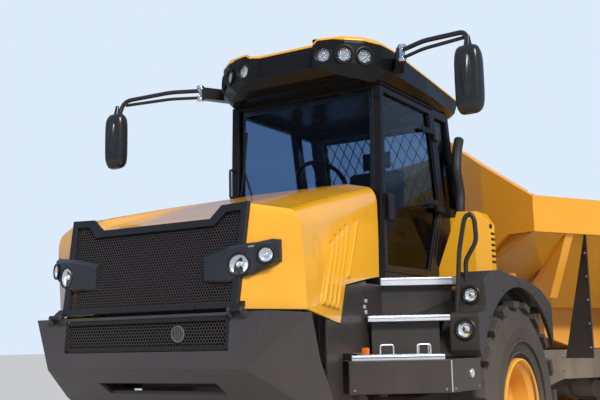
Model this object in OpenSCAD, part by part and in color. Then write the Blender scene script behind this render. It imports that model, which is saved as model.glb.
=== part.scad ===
// Articulated six-wheel dump truck, in millimetres.
// Each module is drawn in the truck's own frame: X forward with 0 at the front axle,
// Y to the truck's left, Z up with 0 on the ground. Rear modules take X from the pivot pin.

/* [Layout] */
// Distance from the front axle back to the articulation pin
pivot_back = 1250; // [1200:10:1300]
// Steering angle at which the truck stands, rear module swung to the left
steer_rest = 28; // [0:1:30]
// Distance from the pin back to the middle axle
mid_axle_back = 2450; // [2400:10:2550]
// Distance between the middle and rear axles
bogie_span = 1600; // [1580:10:1700]
// Distance from the front axle forward to the grille
nose = 2305; // [2250:5:2350]

/* [Wheels] */
// Tyre radius out to the tips of the lugs
tyre_r = 745; // [735:1:755]
// Tyre section width
tyre_w = 520; // [490:5:530]
// Distance from the centre line to the outer face of a tyre
tyre_out = 1332; // [1325:1:1340]
// Radius of the rim flange
rim_r = 345; // [330:1:360]
// Height of a lug above the carcass
lug_h = 32; // [20:1:40]
// Number of lugs on each half of a tyre
lug_count = 20; // [16:1:24]

/* [Front frame] */
// Half distance between the outer faces of the front frame rails
front_rail_y = 340; // [330:5:350]
// Underside of the frame rails
rail_z0 = 640; // [620:5:660]
// Top of the frame rails
rail_z1 = 900; // [880:5:920]

/* [Bumper] */
// Top of the bumper
bumper_top = 1390; // [1380:1:1392]
// Lower edge of the bumper's front face
bumper_low = 1100; // [1060:5:1120]
// Half width of the front face at its top bend
bumper_top_y = 826; // [800:1:840]
// Half width of the front face at its bottom bend
bumper_low_y = 695; // [660:5:720]
// Plate thickness of the bumper
bumper_t = 20; // [12:1:30]

/* [Hood] */
// Thickness of the hood's moulded shell
hood_t = 24; // [16:1:30]
// Lower edge of the hood at the grille
hood_low = 1405; // [1400:1:1420]
// Half width of the hood at its widest crease
crease_y = 897; // [870:1:910]

/* [Cab] */
// Half width of the cab
cab_y = 630; // [620:1:640]
// Underside of the cab floor
cab_z0 = 1600; // [1590:5:1610]
// Underside of the cab roof
cab_z1 = 3010; // [2990:5:3030]
// Front face of the windscreen pillars at the floor
cab_x1 = 690; // [680:1:700]
// Rear face of the cab
cab_x0 = -680; // [-720:5:-660]
// Wall thickness of the cab
cab_t = 50; // [40:1:60]
// Length of the door along the cab side
door_l = 880; // [840:5:900]

/* [Dump body] */
// Half width over the side rails
body_y = 1240; // [1200:5:1260]
// Top of the side rails
body_top = 2350; // [2320:5:2400]
// Height of the side rail's face
body_rail_h = 290; // [240:5:320]
// Distance from the pin back to the headboard
headboard_back = 140; // [120:5:160]
// Distance from the pin back to the tail edge of the body
body_back = 5350; // [5200:10:5450]
// Plate thickness of the dump body
body_t = 24; // [16:1:30]
// Top of the headboard at its middle
headboard_top = 2850; // [2800:5:2900]

/* [Tipping] */
// Distance from the pin back to the tipping hinge
hinge_back = 4750; // [4700:5:4800]
// Height of the tipping hinge
hinge_z = 1000; // [990:5:1010]

/* [Hidden] */
$fn = 48;
axle_z = tyre_r;
mid_x = -mid_axle_back;
rear_x = mid_x - bogie_span;
tyre_y = tyre_out - tyre_w / 2;
carcass_r = tyre_r - lug_h;
gap = 6;
bumper_x = nose + 94;
mirror_out = 1528;
// Centre of the whole truck's box seen from above: from the bumper to the tail's right corner,
// and from the right mirror to the tail's left corner
centre = [
    (bumper_x - pivot_back - body_back * cos(steer_rest) - body_y * sin(steer_rest)) / 2,
    (body_back * sin(steer_rest) + body_y * cos(steer_rest) - mirror_out) / 2
];

// Placing: the front module and the rear module behind its pin
module front() { translate([-centre[0], -centre[1], 0]) children(); }
module rear() { front() translate([-pivot_back, 0, 0]) rotate([0, 0, -steer_rest]) children(); }

// Drawing helpers
module both() { children(); mirror([0, 1, 0]) children(); }
module block(x, y, z) { translate([x[0], y[0], z[0]]) cube([x[1] - x[0], y[1] - y[0], z[1] - z[0]]); }
// An outline in X and Z, made solid between two places along Y
module side_cut(y0, y1) { translate([0, y1, 0]) rotate([90, 0, 0]) linear_extrude(y1 - y0) children(); }
// An outline in Y and Z, made solid between two places along X
module cross_cut(x0, x1) { translate([x0, 0, 0]) rotate([90, 0, 90]) linear_extrude(x1 - x0) children(); }
// An outline in X and Y, made solid between two heights
module plan_cut(z0, z1) { translate([0, 0, z0]) linear_extrude(z1 - z0) children(); }
// A route with each inner corner rounded off over the length cut
function rounded(points, cut) = concat([points[0]], [
    for (i = [1 : len(points) - 2])
        let (p = points[i], a = p + cut * unit(points[i - 1] - p), b = p + cut * unit(points[i + 1] - p))
        for (s = [0 : 0.25 : 1]) (1 - s) * (1 - s) * a + 2 * s * (1 - s) * p + s * s * b
], [points[len(points) - 1]]);
function unit(v) = v / norm(v);
// A bent tube along a route that lies across the direction side
module tube(points, r, side = [0, 0, 1], cut = 40, sides = 12) {
    route = rounded(points, cut);
    n = len(route);
    rings = [for (i = [0 : n - 1])
        let (t = unit((i > 0 ? unit(route[i] - route[i - 1]) : [0, 0, 0])
                      + (i < n - 1 ? unit(route[i + 1] - route[i]) : [0, 0, 0])),
             a = unit(cross(t, side)), b = cross(t, a))
        [for (k = [0 : sides - 1]) route[i] + r * (a * cos(k * 360 / sides) + b * sin(k * 360 / sides))]];
    loft(rings);
}
// A cylinder across the truck
module pin_y(x, z, r, y0, y1) { translate([x, y1, z]) rotate([90, 0, 0]) cylinder(r = r, h = y1 - y0); }
module pin_x(y, z, r, x0, x1) { translate([x0, y, z]) rotate([0, 90, 0]) cylinder(r = r, h = x1 - x0); }
// A closed skin over sections that all have the same even number of points, each of them
// turning right-handed about the way the sections run
module loft(sections) {
    n = len(sections[0]);
    last = (len(sections) - 1) * n;
    function two(a, b, c, d) = [[a, b, c], [a, c, d]];
    quads = concat(
        [for (i = [0 : n / 2 - 2]) [i, i + 1, n - 2 - i, n - 1 - i]],
        [for (k = [0 : len(sections) - 2], i = [0 : n - 1])
            [k * n + i, (k + 1) * n + i, (k + 1) * n + (i + 1) % n, k * n + (i + 1) % n]],
        [for (i = [0 : n / 2 - 2]) [last + n - 1 - i, last + n - 2 - i, last + i + 1, last + i]]
    );
    polyhedron(points = [for (s = sections) for (p = s) p],
               faces = [for (q = quads) for (f = two(q[0], q[1], q[2], q[3])) f]);
}
// The left half of a section, [x, y, z] from the bottom edge to the centre, closed with its mirror
function whole(half) =
    concat(half, [for (i = [len(half) - 1 : -1 : 0]) [half[i][0], -half[i][1], half[i][2]]]);

// Wheels
// Half outline of the tyre's carcass: radius against distance from the tyre's middle
module carcass_half() {
    bead = rim_r - 12;
    flank = (carcass_r + bead) / 2;
    polygon([
        [bead, 0], [bead, tyre_w / 2 - 90], [bead + 30, tyre_w / 2 - 62],
        [flank - 40, tyre_w / 2 - 12], [flank + 40, tyre_w / 2], [carcass_r - 70, tyre_w / 2 - 22],
        [carcass_r - 18, tyre_w / 2 - 50], [carcass_r, tyre_w / 2 - 110], [carcass_r, 0]
    ]);
}
module carcass() {
    rotate([90, 0, 0]) rotate_extrude($fn = 60) {
        carcass_half();
        mirror([0, 1]) carcass_half();
    }
}
// One lug: a slanted bar from the middle of the tread to the shoulder
module lug(turn, side) {
    w = 360 / lug_count * PI / 180 * carcass_r * 0.42;
    out = tyre_w / 2 - 14;
    tip = sqrt(tyre_r * tyre_r - (w / 2 + 60) * (w / 2 + 60));
    rotate([0, turn, 0]) mirror([0, side, 0]) translate([0, 0, carcass_r - 20])
        linear_extrude(tip - carcass_r + 20)
            polygon([[-w / 2, 6], [w / 2, 6], [w * 0.75 + 30, out - 90], [w / 2 + 60, out],
                     [-w / 2 + 46, out], [-w / 2 + 20, out - 90]]);
}
module tyre() {
    color("#2b2623") difference() {
        union() {
            carcass();
            for (i = [0 : lug_count - 1], side = [0, 1])
                lug(i * 360 / lug_count + side * 180 / lug_count, side);
        }
    }
}
hub_face = 60;
spindle_r = 70;
// The wheel's rim: a deep dish with the hub cover in it; outer side towards +Y
module rim() {
    seat = rim_r - 12.3;
    half = tyre_w / 2 - 90;
    color("#f0a020") rotate([-90, 0, 0]) rotate_extrude($fn = 72) polygon([
        [0, 50], [spindle_r + 0.1, 50], [spindle_r + 0.1, -hub_face], [130, -hub_face],
        [150, -40], [225, -40],
        [seat - 32, 50], [seat - 32, -half - 14], [seat - 18, -half - 34], [seat + 22, -half - 38],
        [seat + 22, -half - 24], [seat, -half - 1], [seat, half + 1], [seat + 22, half + 24],
        [seat + 22, half + 38], [seat - 14, half + 36], [seat - 34, half + 6], [seat - 44, 66],
        [240, -10], [170, -10], [150, 60], [110, 88], [0, 88]
    ]);
}
module wheel_place(x, side) {
    translate([x, side * tyre_y, axle_z]) mirror([0, side > 0 ? 0 : 1, 0]) children();
}

// Axles: housing, differential bowl and hub carriers
module axle(x, nose_dir) {
    translate([x, 0, axle_z]) {
        pin_y(0, 0, 105, -tyre_y + hub_face + 130, tyre_y - hub_face - 130);
        both() pin_y(0, 0, 150, tyre_y - hub_face - 130, tyre_y - hub_face - gap);
        both() pin_y(0, 0, spindle_r, tyre_y - hub_face - 20, tyre_y + 40);
        rotate([0, 90, 0]) cylinder(r = 210, h = 300, center = true);
        translate([nose_dir * 150, 0, 0]) rotate([0, nose_dir * 90, 0]) cylinder(r1 = 150, r2 = 80, h = 170);
    }
}
module front_axle() { color("#3a3a3c") axle(0, -1); }
module rear_axles() { color("#3a3a3c") { axle(mid_x, 1); axle(rear_x, 1); } }

// Front frame: two rails, cross members, axle saddle and the fork that holds the pin
fork_z = [560, 1060];
pin_r = 60;
fork_web_y = 230;
// Front end of the frame rails, where the bumper's brackets seat
bumper_seat = bumper_x - 409;
module front_frame() {
    color("#3b3b3d") difference() {
        union() {
            both() side_cut(front_rail_y - 60, front_rail_y)
                polygon([[-760, fork_z[0]], [-420, rail_z0 + 330], [420, rail_z0 + 330], [700, rail_z0 + 60],
                         [bumper_seat - 350, rail_z0 + 90], [bumper_seat, 955], [bumper_seat, 1160],
                         [bumper_seat - 490, rail_z1 + 160],
                         [-760, fork_z[1]]]);
            for (x = [-760, 1000, bumper_seat - 430])
                block([x, x + 90], [-front_rail_y, front_rail_y], [rail_z0 + 130, rail_z1]);
            both() block([-1000, -700], [fork_web_y - 60, fork_web_y], fork_z);
            for (z = [fork_z[0], fork_z[1] - 70]) plan_cut(z, z + 70) hull() {
                translate([-pivot_back, 0]) circle(150);
                translate([-800, 0]) square([160, 2 * front_rail_y], center = true);
            }
            // Saddles that seat on the axle housing
            both() block([-110, 110], [front_rail_y - 60, front_rail_y], [axle_z + 90, rail_z0 + 340]);
            // Cab floor beams
            for (x = [-600, 500]) block([x, x + 100], [-560, 560], [1060, 1140]);
            both() for (x = [-600, 500]) block([x, x + 100], [470, 560], [1140, cab_z0]);
            // Outriggers of the fenders and of the step box
            both() for (x = [-600, 480]) block([x, x + 80], [550, 744.7], [1350, 1450]);
            block([1110, 1300], [front_rail_y - 10, 619.7], [950, 1040]);
            // Brackets and pins of the steering cylinders
            both() plan_cut(steer_z - 75, steer_z - 45) steer_bracket();
            both() plan_cut(steer_z + 45, steer_z + 75) steer_bracket();
            both() translate([steer_base[0] - pivot_back, steer_base[1], steer_z - 75])
                cylinder(r = 25, h = 150);
            block([bumper_seat - 20, bumper_seat], [-front_rail_y, front_rail_y], [990, 1160]);
        }
        translate([-pivot_back, 0, 0]) cylinder(r = pin_r, h = 1500);
        pin_y(0, axle_z, 105.3, -600, 600);
    }
}
module steer_bracket() {
    hull() {
        translate([steer_base[0] - pivot_back, steer_base[1]]) circle(55);
        translate([steer_base[0] - pivot_back - 40, front_rail_y - 30]) square([200, 20], center = true);
    }
}
module engine() {
    color("#55585a") {
        block([900, 1500], [-300, 300], [rail_z1 + 160.3, 1780]);
        block([1490, 1900], [-250, 250], [rail_z1 + 160.3, 1780]);
        block([bumper_x - 339, bumper_x - 199], [-540, 540], [1180, 1860]);
        block([1900, bumper_x - 339], [-80, 80], [1300, 1460]);
    }
}

// Bumper: a faceted shell whose underside slopes down to the rear
// Corners of the left half, from the rear edge round to the front: top and bottom of each bend
bumper_top_bends = [[bumper_x - 399, 905, 1130], [bumper_x - 279, 927, bumper_top - 8],
                    [bumper_x - 32, bumper_top_y, bumper_top]];
bumper_low_bends = [[bumper_x - 683, 900, 690], [bumper_x - 279, 824, 933],
                    [bumper_x, bumper_low_y, bumper_low]];
module bumper_shell(t) {
    loft([for (bends = [bumper_top_bends, bumper_low_bends]) whole([
        for (k = [0 : 2]) let (b = bends[k]) [b[0] - (k == 1 ? 0 : t), b[1] - t, b[2] + t]])]);
}
hood_axis = [nose + 90, 1398];
hood_ears = [592, 674];
grille_low_y = 586;
grille_low_z = [1193, 1372];
module bumper() {
    color("#4b4648") difference() {
        bumper_shell(0);
        bumper_shell(bumper_t);
        block([bumper_x - 199, bumper_x + 200], [-grille_low_y, grille_low_y], grille_low_z);
        // Slot in the underside
        block([bumper_x - 240, bumper_x - 130], [-420, 420], [900, 1090]);
    }
    // Brackets to the frame and ears that hold the hood's pins
    color("#4b4648") both() {
        block([bumper_seat + 0.3, bumper_x - 25], [front_rail_y - 60, front_rail_y], [1120, 1180]);
        for (y = hood_ears) difference() {
            side_cut(y, y + 16) hull() {
                translate(hood_axis) circle(14);
                translate([bumper_x - 48, bumper_top - 30]) square([30, 20]);
            }
            pin_y(hood_axis[0], hood_axis[1], 9.1, y - 10, y + 30);
        }
    }
}
// A plate pierced by a pattern of holes, drawn in Y and Z
module mesh_plate(outline_y, z, pitch, hole_r) {
    difference() {
        translate([-outline_y, z[0]]) square([2 * outline_y, z[1] - z[0]]);
        for (j = [0 : floor((z[1] - z[0] - pitch) / pitch)],
             i = [0 : floor((2 * outline_y - pitch) / pitch)])
            translate([-outline_y + pitch * (0.75 + i + (j % 2) * 0.25), z[0] + pitch * (0.75 + j)])
                circle(hole_r, $fn = 6);
    }
}
module bumper_grille() {
    color("#1c1c1e") translate([bumper_x - 40, 0, 0])
        cross_cut(0, 12)
            mesh_plate(grille_low_y - 0.3, [grille_low_z[0] + 0.3, grille_low_z[1] - 0.3], 60, 22);
}

// Hood: a moulded shell between three sections, open below, at the grille and at the cab
// The grille's plane leans back; this is its place at height z
face_lean = atan(92 / 563);
function face_x(z) = nose + 37 - (z - hood_low) * tan(face_lean);
// Sections of the hood from the grille to the cab: place and the points of the left half
hood_half = [
    [[face_x(hood_low), 627, hood_low], [face_x(1650), 633, 1650], [face_x(1860), 638, 1860],
     [face_x(1972), 642, 1972], [face_x(1966), 470, 1966], [face_x(1898), 400, 1898]],
    [[nose - 194, crease_y, hood_low - 7], [nose - 172, crease_y, 1660], [nose - 155, crease_y - 4, 1850],
     [nose - 149, crease_y - 42, 1925], [nose - 144, 520, 1992], [nose - 144, 430, 1935]],
    [[1850, 853, 1365], [1850, 860, 1680], [1850, 850, 1915],
     [1850, 805, 2000], [1850, 500, 2065], [1850, 420, 2020]],
    [[1540, 795, 1330], [1540, 800, 1700], [1540, 790, 1990],
     [1540, 745, 2075], [1540, 475, 2135], [1540, 408, 2110]],
    [[790, 640, 1330], [785, 650, 1900], [775, 642, 2180],
     [768, 600, 2255], [760, 420, 2297], [760, 380, 2302]]
];
function hood_section(k, t) = whole([
    for (i = [0 : 5]) let (p = hood_half[k][i], z = p[2] - (t == 0 ? 0 : i == 0 ? 200 : i > 2 ? t : 0))
        [t == 0 ? p[0] : k == 0 ? face_x(z) + 1 : k == len(hood_half) - 1 ? p[0] - t : p[0],
         i < 4 ? p[1] - t : p[1], z]
]);
// Slots between the pleats of the hood's side: foot x, head x, foot z, head z
hood_slots = [[1900, 1735, 1430, 1790], [1830, 1640, 1425, 1835], [1760, 1545, 1420, 1875],
              [1690, 1450, 1415, 1915], [1480, 1260, 1600, 1970]];
slot_w = 26;
// Lower rear corner of the hood's side, stepped up over the trim plate
hood_step = [[1602, 1345], [1506, 1558], [1052, 1620], [700, 1660]];
module hood() {
    color("#f5a81c") difference() {
        loft([for (k = [len(hood_half) - 1 : -1 : 0]) hood_section(k, 0)]);
        loft([for (k = [len(hood_half) - 1 : -1 : 0]) hood_section(k, hood_t)]);
        side_cut(-1000, 1000) polygon(concat([[1602, 1200]], hood_step, [[700, 1200]]));
        both() for (l = hood_slots) side_cut(600, 950)
            polygon([[l[0], l[2]], [l[0] + slot_w, l[2]], [l[1] + slot_w, l[3]], [l[1], l[3]]]);
        both() lamp_pod(2);
    }
}
// Headlamp housing on one side, in cuts across the truck: y, front x, bottom and top; grown by a clearance
pod_table = [[390, 30, 1549, 1702], [470, 43, 1548, 1718], [560, 47, 1545, 1738], [675, 27, 1580, 1747],
             [700, 3, 1593, 1750], [730, -9, 1608, 1756], [775, -29, 1632, 1765], [800, -85, 1648, 1764]];
module lamp_pod(grow = 0) {
    last = len(pod_table) - 1;
    loft([for (k = [0 : last]) let (p = pod_table[k], y = p[0] + (k == 0 ? -grow : k == last ? grow : 0),
                                    x = nose + p[1] + grow,
                                    back = nose - 45 - max(0, p[0] - 616) * 0.6 - grow) [
        [back, y, p[2] - grow], [back, y, p[3] + grow], [x - 25, y, p[3] + grow],
        [x, y, p[3] + grow - 22], [x, y, p[2] - grow + 14], [x - 12, y, p[2] - grow]]]);
}
// Frame and mesh of the grille, drawn in the leaning plane: Y across, Z up the plane
module leaning() { translate([face_x(hood_low), 0, hood_low]) rotate([0, -face_lean, 0]) children(); }
grille_edge = [[-627, 2], [627, 2], [642, 575], [470, 568], [400, 498],
               [-400, 498], [-470, 568], [-642, 575]];
grille_hole = [[-575, 36], [575, 36], [590, 528], [494, 524], [424, 456],
               [-424, 456], [-494, 524], [-590, 528]];
module hood_grille() {
    color("#2a2a2c") difference() {
        leaning() {
            difference() {
                cross_cut(0.3, 24) polygon(grille_edge);
                cross_cut(-1, 50) polygon(grille_hole);
            }
            cross_cut(6, 16) difference() {
                polygon(grille_hole);
                for (j = [0 : 8], i = [0 : 19])
                    translate([-560 + 57 * (i + (j % 2) / 2), 62 + j * 48]) circle(22, $fn = 6);
            }
        }
        both() lamp_pod(0.3);
    }
    // Hinge knuckles of the hood
    color("#2a2a2c") both() {
        pin_y(hood_axis[0], hood_axis[1], 9, hood_ears[0] - 2, hood_ears[1] + 18);
        side_cut(hood_ears[0] + 22, hood_ears[1] - 6) polygon([
            [hood_axis[0] - 47, 1414], [hood_axis[0] - 49, 1445], [hood_axis[0] + 6, 1404],
            [hood_axis[0] - 2, 1390]]);
    }
}
// Lamps of one housing: x, y, z, turn outward, lens radius
head_lamp_table = [[nose + 14, 618, 1634, 12, 57], [nose - 33, 752, 1680, 26, 40]];
module head_lamp(l) { translate([l[0], l[1], l[2]]) rotate([0, 90, l[3]]) children(); }
module headlamps() {
    color("#34363a") both() difference() {
        lamp_pod();
        for (l = head_lamp_table) head_lamp(l) cylinder(r = l[4] + 4, h = 100);
    }
}
module headlamp_lenses() {
    color("#e8ecf0") both() for (l = head_lamp_table)
        head_lamp(l) translate([0, 0, 0.3]) cylinder(r = l[4], h = 18);
}

// Cab
// Side outline of the cab: windscreen and rear wall lean
cab_side = [[cab_x1, cab_z0], [cab_x1 - 42, cab_z1], [cab_x0 + 143, cab_z1], [cab_x0, 2244],
            [cab_x0 + 80, cab_z0]];
function screen_x(z) = cab_x1 - 42 * (z - cab_z0) / (cab_z1 - cab_z0);
function back_x(z) = cab_x0 + 143 * (z - 2244) / (cab_z1 - 2244);
screen_y = cab_y - 62;
screen_z = [2250, 2980];
back_y = cab_y - 110;
back_z = [2290, 2950];
// Outline of the door, seen from the left; its rear edge slants
door_x = [cab_x1 - 30 - door_l, cab_x1 - 30];
door_low = 1695;
door_outline = [[door_x[1], door_low], [door_x[1] - 15, cab_z1 - 10], [door_x[0] + 7, cab_z1 - 10],
                [door_x[0] - 137, 2248], [door_x[0] + 83, door_low + 30], [door_x[0] + 110, door_low]];
door_frame = 45;
quarter = [[-270, 2945], [-412, 2255], [-635, 2255], [-503, 2945]];
// Hinge line of the door and the undersides of its two hinges
door_hinge = [door_x[0] - 2, cab_y + 14];
door_hinge_z = [2200, 2750];
// Where the arms of the hinges spring from the wall
door_hinge_root = [door_x[0] - 144, door_x[0] - 58];
module cab_outline(t) {
    polygon([[cab_x0 - 10, -cab_y + t + 25], [cab_x0 + t + 25, -cab_y + t], [cab_x1 - t - 25, -cab_y + t],
             [cab_x1 + 10, -cab_y + t + 60], [cab_x1 + 10, cab_y - t - 60], [cab_x1 - t - 25, cab_y - t],
             [cab_x0 + t + 25, cab_y - t], [cab_x0 - 10, cab_y - t - 25]]);
}
module cab_hull(t, rise) {
    intersection() {
        plan_cut(cab_z0 + t, cab_z1 + rise) cab_outline(t);
        side_cut(-cab_y, cab_y) offset(delta = -t)
            polygon(concat([[cab_side[1][0] - 3, cab_z1 + 100], [cab_side[2][0] + 19, cab_z1 + 100]],
                           [for (k = [2 : 5]) cab_side[k % 5]], [cab_side[1]]));
    }
}
module cab_shell() {
    color("#262628") difference() {
        cab_hull(0, 0);
        cab_hull(cab_t, 1);
        // Windscreen, rear window, side windows and door opening
        block([cab_x1 - 130, cab_x1 + 10], [-screen_y, screen_y], screen_z);
        block([cab_x0 - 10, cab_x0 + 200], [-back_y, back_y], back_z);
        side_cut(-cab_y - 10, -cab_y + 100) offset(delta = -door_frame) polygon(door_outline);
        both() side_cut(cab_y - 100, cab_y + 10) polygon(quarter);
        side_cut(cab_y - cab_t - 5, cab_y + 10) offset(delta = 5) polygon(door_outline);
    }
    // Arms and pins of the door's hinges, reaching over its rear edge
    color("#262628") for (k = [0, 1]) {
        root = door_hinge_root[k];
        plan_cut(door_hinge_z[k], door_hinge_z[k] + 40) {
            polygon([[root - 21, cab_y - 1], [root - 21, cab_y + 18], [door_x[0] - 10, cab_y + 28],
                     [door_x[0] - 10, cab_y + 8], [root + 18, cab_y + 7], [root, cab_y - 1]]);
            translate(door_hinge) circle(13.5);
        }
        translate([door_hinge[0], door_hinge[1], door_hinge_z[k]]) cylinder(r = 7, h = 90);
    }
}
// A pane in the side wall, its outline seen from the side
module side_pane(y) { side_cut(y - 3, y + 3) children(); }
module leaning_pane(x0, x1, y, z) {
    side_cut(-y, y) polygon([[x0 - 3, z[0]], [x0 + 3, z[0]], [x1 + 3, z[1]], [x1 - 3, z[1]]]);
}
module cab_glass() {
    color("#20304a") {
        leaning_pane(screen_x(screen_z[0]) - 27, screen_x(screen_z[1]) - 27, screen_y, screen_z);
        leaning_pane(back_x(back_z[0]) + 27, back_x(back_z[1]) + 27, back_y, back_z);
        side_pane(-cab_y + 27) offset(delta = -door_frame) polygon(door_outline);
        both() side_pane(cab_y - 27) polygon(quarter);
    }
}
module cab_door() {
    color("#1d1d20") difference() {
        side_cut(cab_y - cab_t, cab_y) polygon(door_outline);
        side_cut(cab_y - 100, cab_y + 10) offset(delta = -door_frame) polygon(door_outline);
    }
    color("#1d1d20") for (z = door_hinge_z) plan_cut(z + 40.3, z + 80) difference() {
        hull() {
            translate(door_hinge) circle(14);
            translate([door_hinge[0] + 110, cab_y + 2]) square([160, 4], center = true);
        }
        translate(door_hinge) circle(7.1);
    }
    color("#1d1d20") block([door_x[1] - 110, door_x[1] - 20], [cab_y - 5, cab_y + 35], [2050, 2230]);
}
module door_glass() {
    color("#20304a") side_pane(cab_y - 27) offset(delta = -door_frame) polygon(door_outline);
}
module cab_interior() {
    color("#303236") {
        block([-450, 50], [-260, 260], [cab_z0 + cab_t, 1950]);
        block([-480, 60], [-270, 270], [1950, 2090]);
        block([-560, -440], [-260, 260], [2090, 2700]);
        block([430, 600], [-300, 300], [cab_z0 + cab_t, 2150]);
        tube([[520, 0, 2145], [505, 0, 2170], [400, 0, 2300]], 30, [0, 1, 0], 10);
        translate([400, 0, 2300]) rotate([0, -60, 0]) rotate_extrude() translate([190, 0]) circle(16);
        block([380, 420], [-190, 190], [2290, 2310]);
    }
}
// Roof: sections from the rear to the front, x and the points of the left half from the underside
roof_under = cab_z1 + 0.3;
roof_half = [
    [cab_x0 - 20, [[540, roof_under], [590, 3030], [620, 3110], [585, 3138], [300, 3150], [200, 3150]]],
    [cab_x0 + 60, [[600, roof_under], [660, 3040], [690, 3140], [650, 3165], [300, 3175], [200, 3175]]],
    [0, [[620, roof_under], [700, 3060], [700, 3195], [660, 3225], [330, 3245], [250, 3240]]],
    [560, [[620, roof_under], [700, 3075], [700, 3250], [650, 3285], [330, 3305], [270, 3285]]],
    [655, [[612, roof_under], [685, 3080], [685, 3260], [645, 3292], [330, 3312], [270, 3288]]],
    [700, [[590, 3005], [675, 3085], [675, 3264], [638, 3296], [330, 3315], [270, 3290]]],
    [800, [[540, 3012], [600, 3105], [600, 3280], [570, 3308], [330, 3322], [270, 3296]]],
    [885, [[420, 3045], [490, 3118], [490, 3285], [470, 3310], [330, 3322], [270, 3296]]],
    [935, [[300, 3098], [330, 3126], [330, 3285], [322, 3305], [300, 3308], [270, 3284]]]
];
// The roof's outline with its top let down and its sides let out
module roof_form(drop, out) {
    last = len(roof_half) - 1;
    loft([for (k = [0 : last]) let (r = roof_half[k], x = r[0] + (k == 0 ? -out : k == last ? out : 0))
        whole([for (i = [0 : 5]) let (p = r[1][i])
            [x, p[0] + (i < 4 ? out : 0), p[1] - (i > 1 ? drop : i == 0 ? out : 0)]])]);
}
// Bay between the two lamp housings
module roof_bay() {
    plan_cut(3110, 3400) polygon([[1000, -300], [872, -230], [872, 230], [1000, 300]]);
}
cap_t = 16;
module cab_roof() {
    color("#232325") difference() {
        roof_form(cap_t + 2, 0);
        roof_bay();
        both() for (l = roof_lamp_table) roof_lamp(l) cylinder(r = 56, h = 200);
    }
}
beacon = [560, 200];
beacon_z = roof_half[3][1][5][1];
module roof_cap() {
    color("#e8a01c") difference() {
        roof_form(0, 0);
        roof_form(cap_t, 5);
        roof_bay();
    }
}
// Pole of the warning beacon, on its foot on the cap
module beacon_stub() {
    color("#e8a01c") translate([beacon[0], beacon[1], beacon_z + 1]) {
        cylinder(r = 30, h = 14);
        cylinder(r = 12, h = 74);
    }
}
// Roof lamps on one side: x, y, z, angle in plan
roof_lamp_table = [[890, 331, 3190, 12], [858, 471, 3179, 30], [778, 578, 3165, 45]];
module roof_lamp(l) { translate([l[0], l[1], l[2]]) rotate([0, 90, l[3]]) children(); }
module roof_lamps() {
    color("#e0e4e8") both() for (l = roof_lamp_table)
        roof_lamp(l) translate([0, 0, 0.3]) cylinder(r = 50, h = 22);
}
module mirrors() {
    color("#202022") both() {
        plan_cut(3100, 3190)
            polygon([[470, 700.3], [558, 700.3], [770, 825], [765, 860], [715, 862], [470, 735]]);
        tube([[742, 845, 3170], [860, 1060, 3165], [1000, 1414, 3120], [1050, 1440, 2950]],
             16, [1, -0.3, 0.1]);
        tube([[742, 845, 3115], [860, 1060, 3112], [995, 1400, 3085]], 12, [0, 0, 1]);
        cross_cut(1030, 1075) hull() for (z = [2600, 2990], y = [mirror_out - 148, mirror_out - 28])
            translate([y, z]) circle(28);
        cross_cut(1075, 1110) hull() for (z = [2680, 2960], y = [mirror_out - 113, mirror_out - 63])
            translate([y, z]) circle(26);
    }
}

// Steps on the left corner: a flight that faces outward between the hood and the fender
// Treads: front corner, outer corner, depth, top height, thickness
step_table = [
    [[1104, 721], [836, 1155], 300, 1385, 35],
    [[1514, 824], [1232, 1280], 300, 1148, 30]
];
platform_z = 1645;
platform_t = 50;
platform_edge = [[739, cab_y + 0.3], [482, 1035]];
box_z = [930, 1118];
// A strip behind the edge from a to b: from its set-back to that plus its depth
module behind(a, b, set_back, depth) {
    d = unit(b - a);
    back = [-d[1], d[0]] * (d[0] > 0 ? -1 : 1);
    far = back * (set_back + depth);
    polygon([a + back * set_back, b + back * set_back, b + far, a + far]);
}
module clear_of_fender() {
    difference() {
        children();
        side_cut(fender_y[0] - 6, 1400) offset(delta = 6) polygon(fender_x);
        pin_y(0, axle_z, fender_r + 30.3, arch_in - 0.3, fender_y[0]);
    }
}
module steps() {
    color("#d8dadc") {
        clear_of_fender() {
            plan_cut(platform_z - platform_t, platform_z)
                polygon(concat(platform_edge, [[240, 1035], [240, cab_y + 0.3]]));
            for (s = step_table) plan_cut(s[3] - s[4], s[3]) behind(s[0], s[1], 0, s[2]);
        }
    }
}
// Box under the lowest tread and the riser plates behind the others
module step_box() {
    mid = step_table[0];
    color("#262425") clear_of_fender() {
        plan_cut(box_z[0], box_z[1] - 0.3) polygon([
            [1553, 824], [1244, 1318], [780, 1318], [780, 1000], [1060, 620], [1350, 620]]);
        plan_cut(box_z[1] - 1, platform_z - platform_t - 0.3)
            behind(platform_edge[0], platform_edge[1], 50, 15);
        plan_cut(box_z[1] - 1, mid[3] - mid[4] - 0.3)
            behind(mid[0] + [-12, 20], mid[1] + [32, -51], 60, 15);
    }
}
// Dark plates under the hood's side, carried by a strut from the frame
trim_x = bumper_x - 570;
module side_trim() {
    color("#1c1b1d") both() {
        intersection() {
            plan_cut(800, 1700)
                polygon([[trim_x, 846], [1540, 787], [1060, 688], [1060, 674], [1540, 773], [trim_x, 832]]);
            side_cut(600, 900) polygon([[trim_x, 1354], [trim_x, 900], [1565, 900], [1565, 1160],
                                        [1060, 1160], [1060, 1608], [1500, 1550], [1594, 1338],
                                        [1600, 1329]]);
        }
        block([1600, 1640], [front_rail_y + 0.3, 792], [960, 1000]);
    }
}
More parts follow.
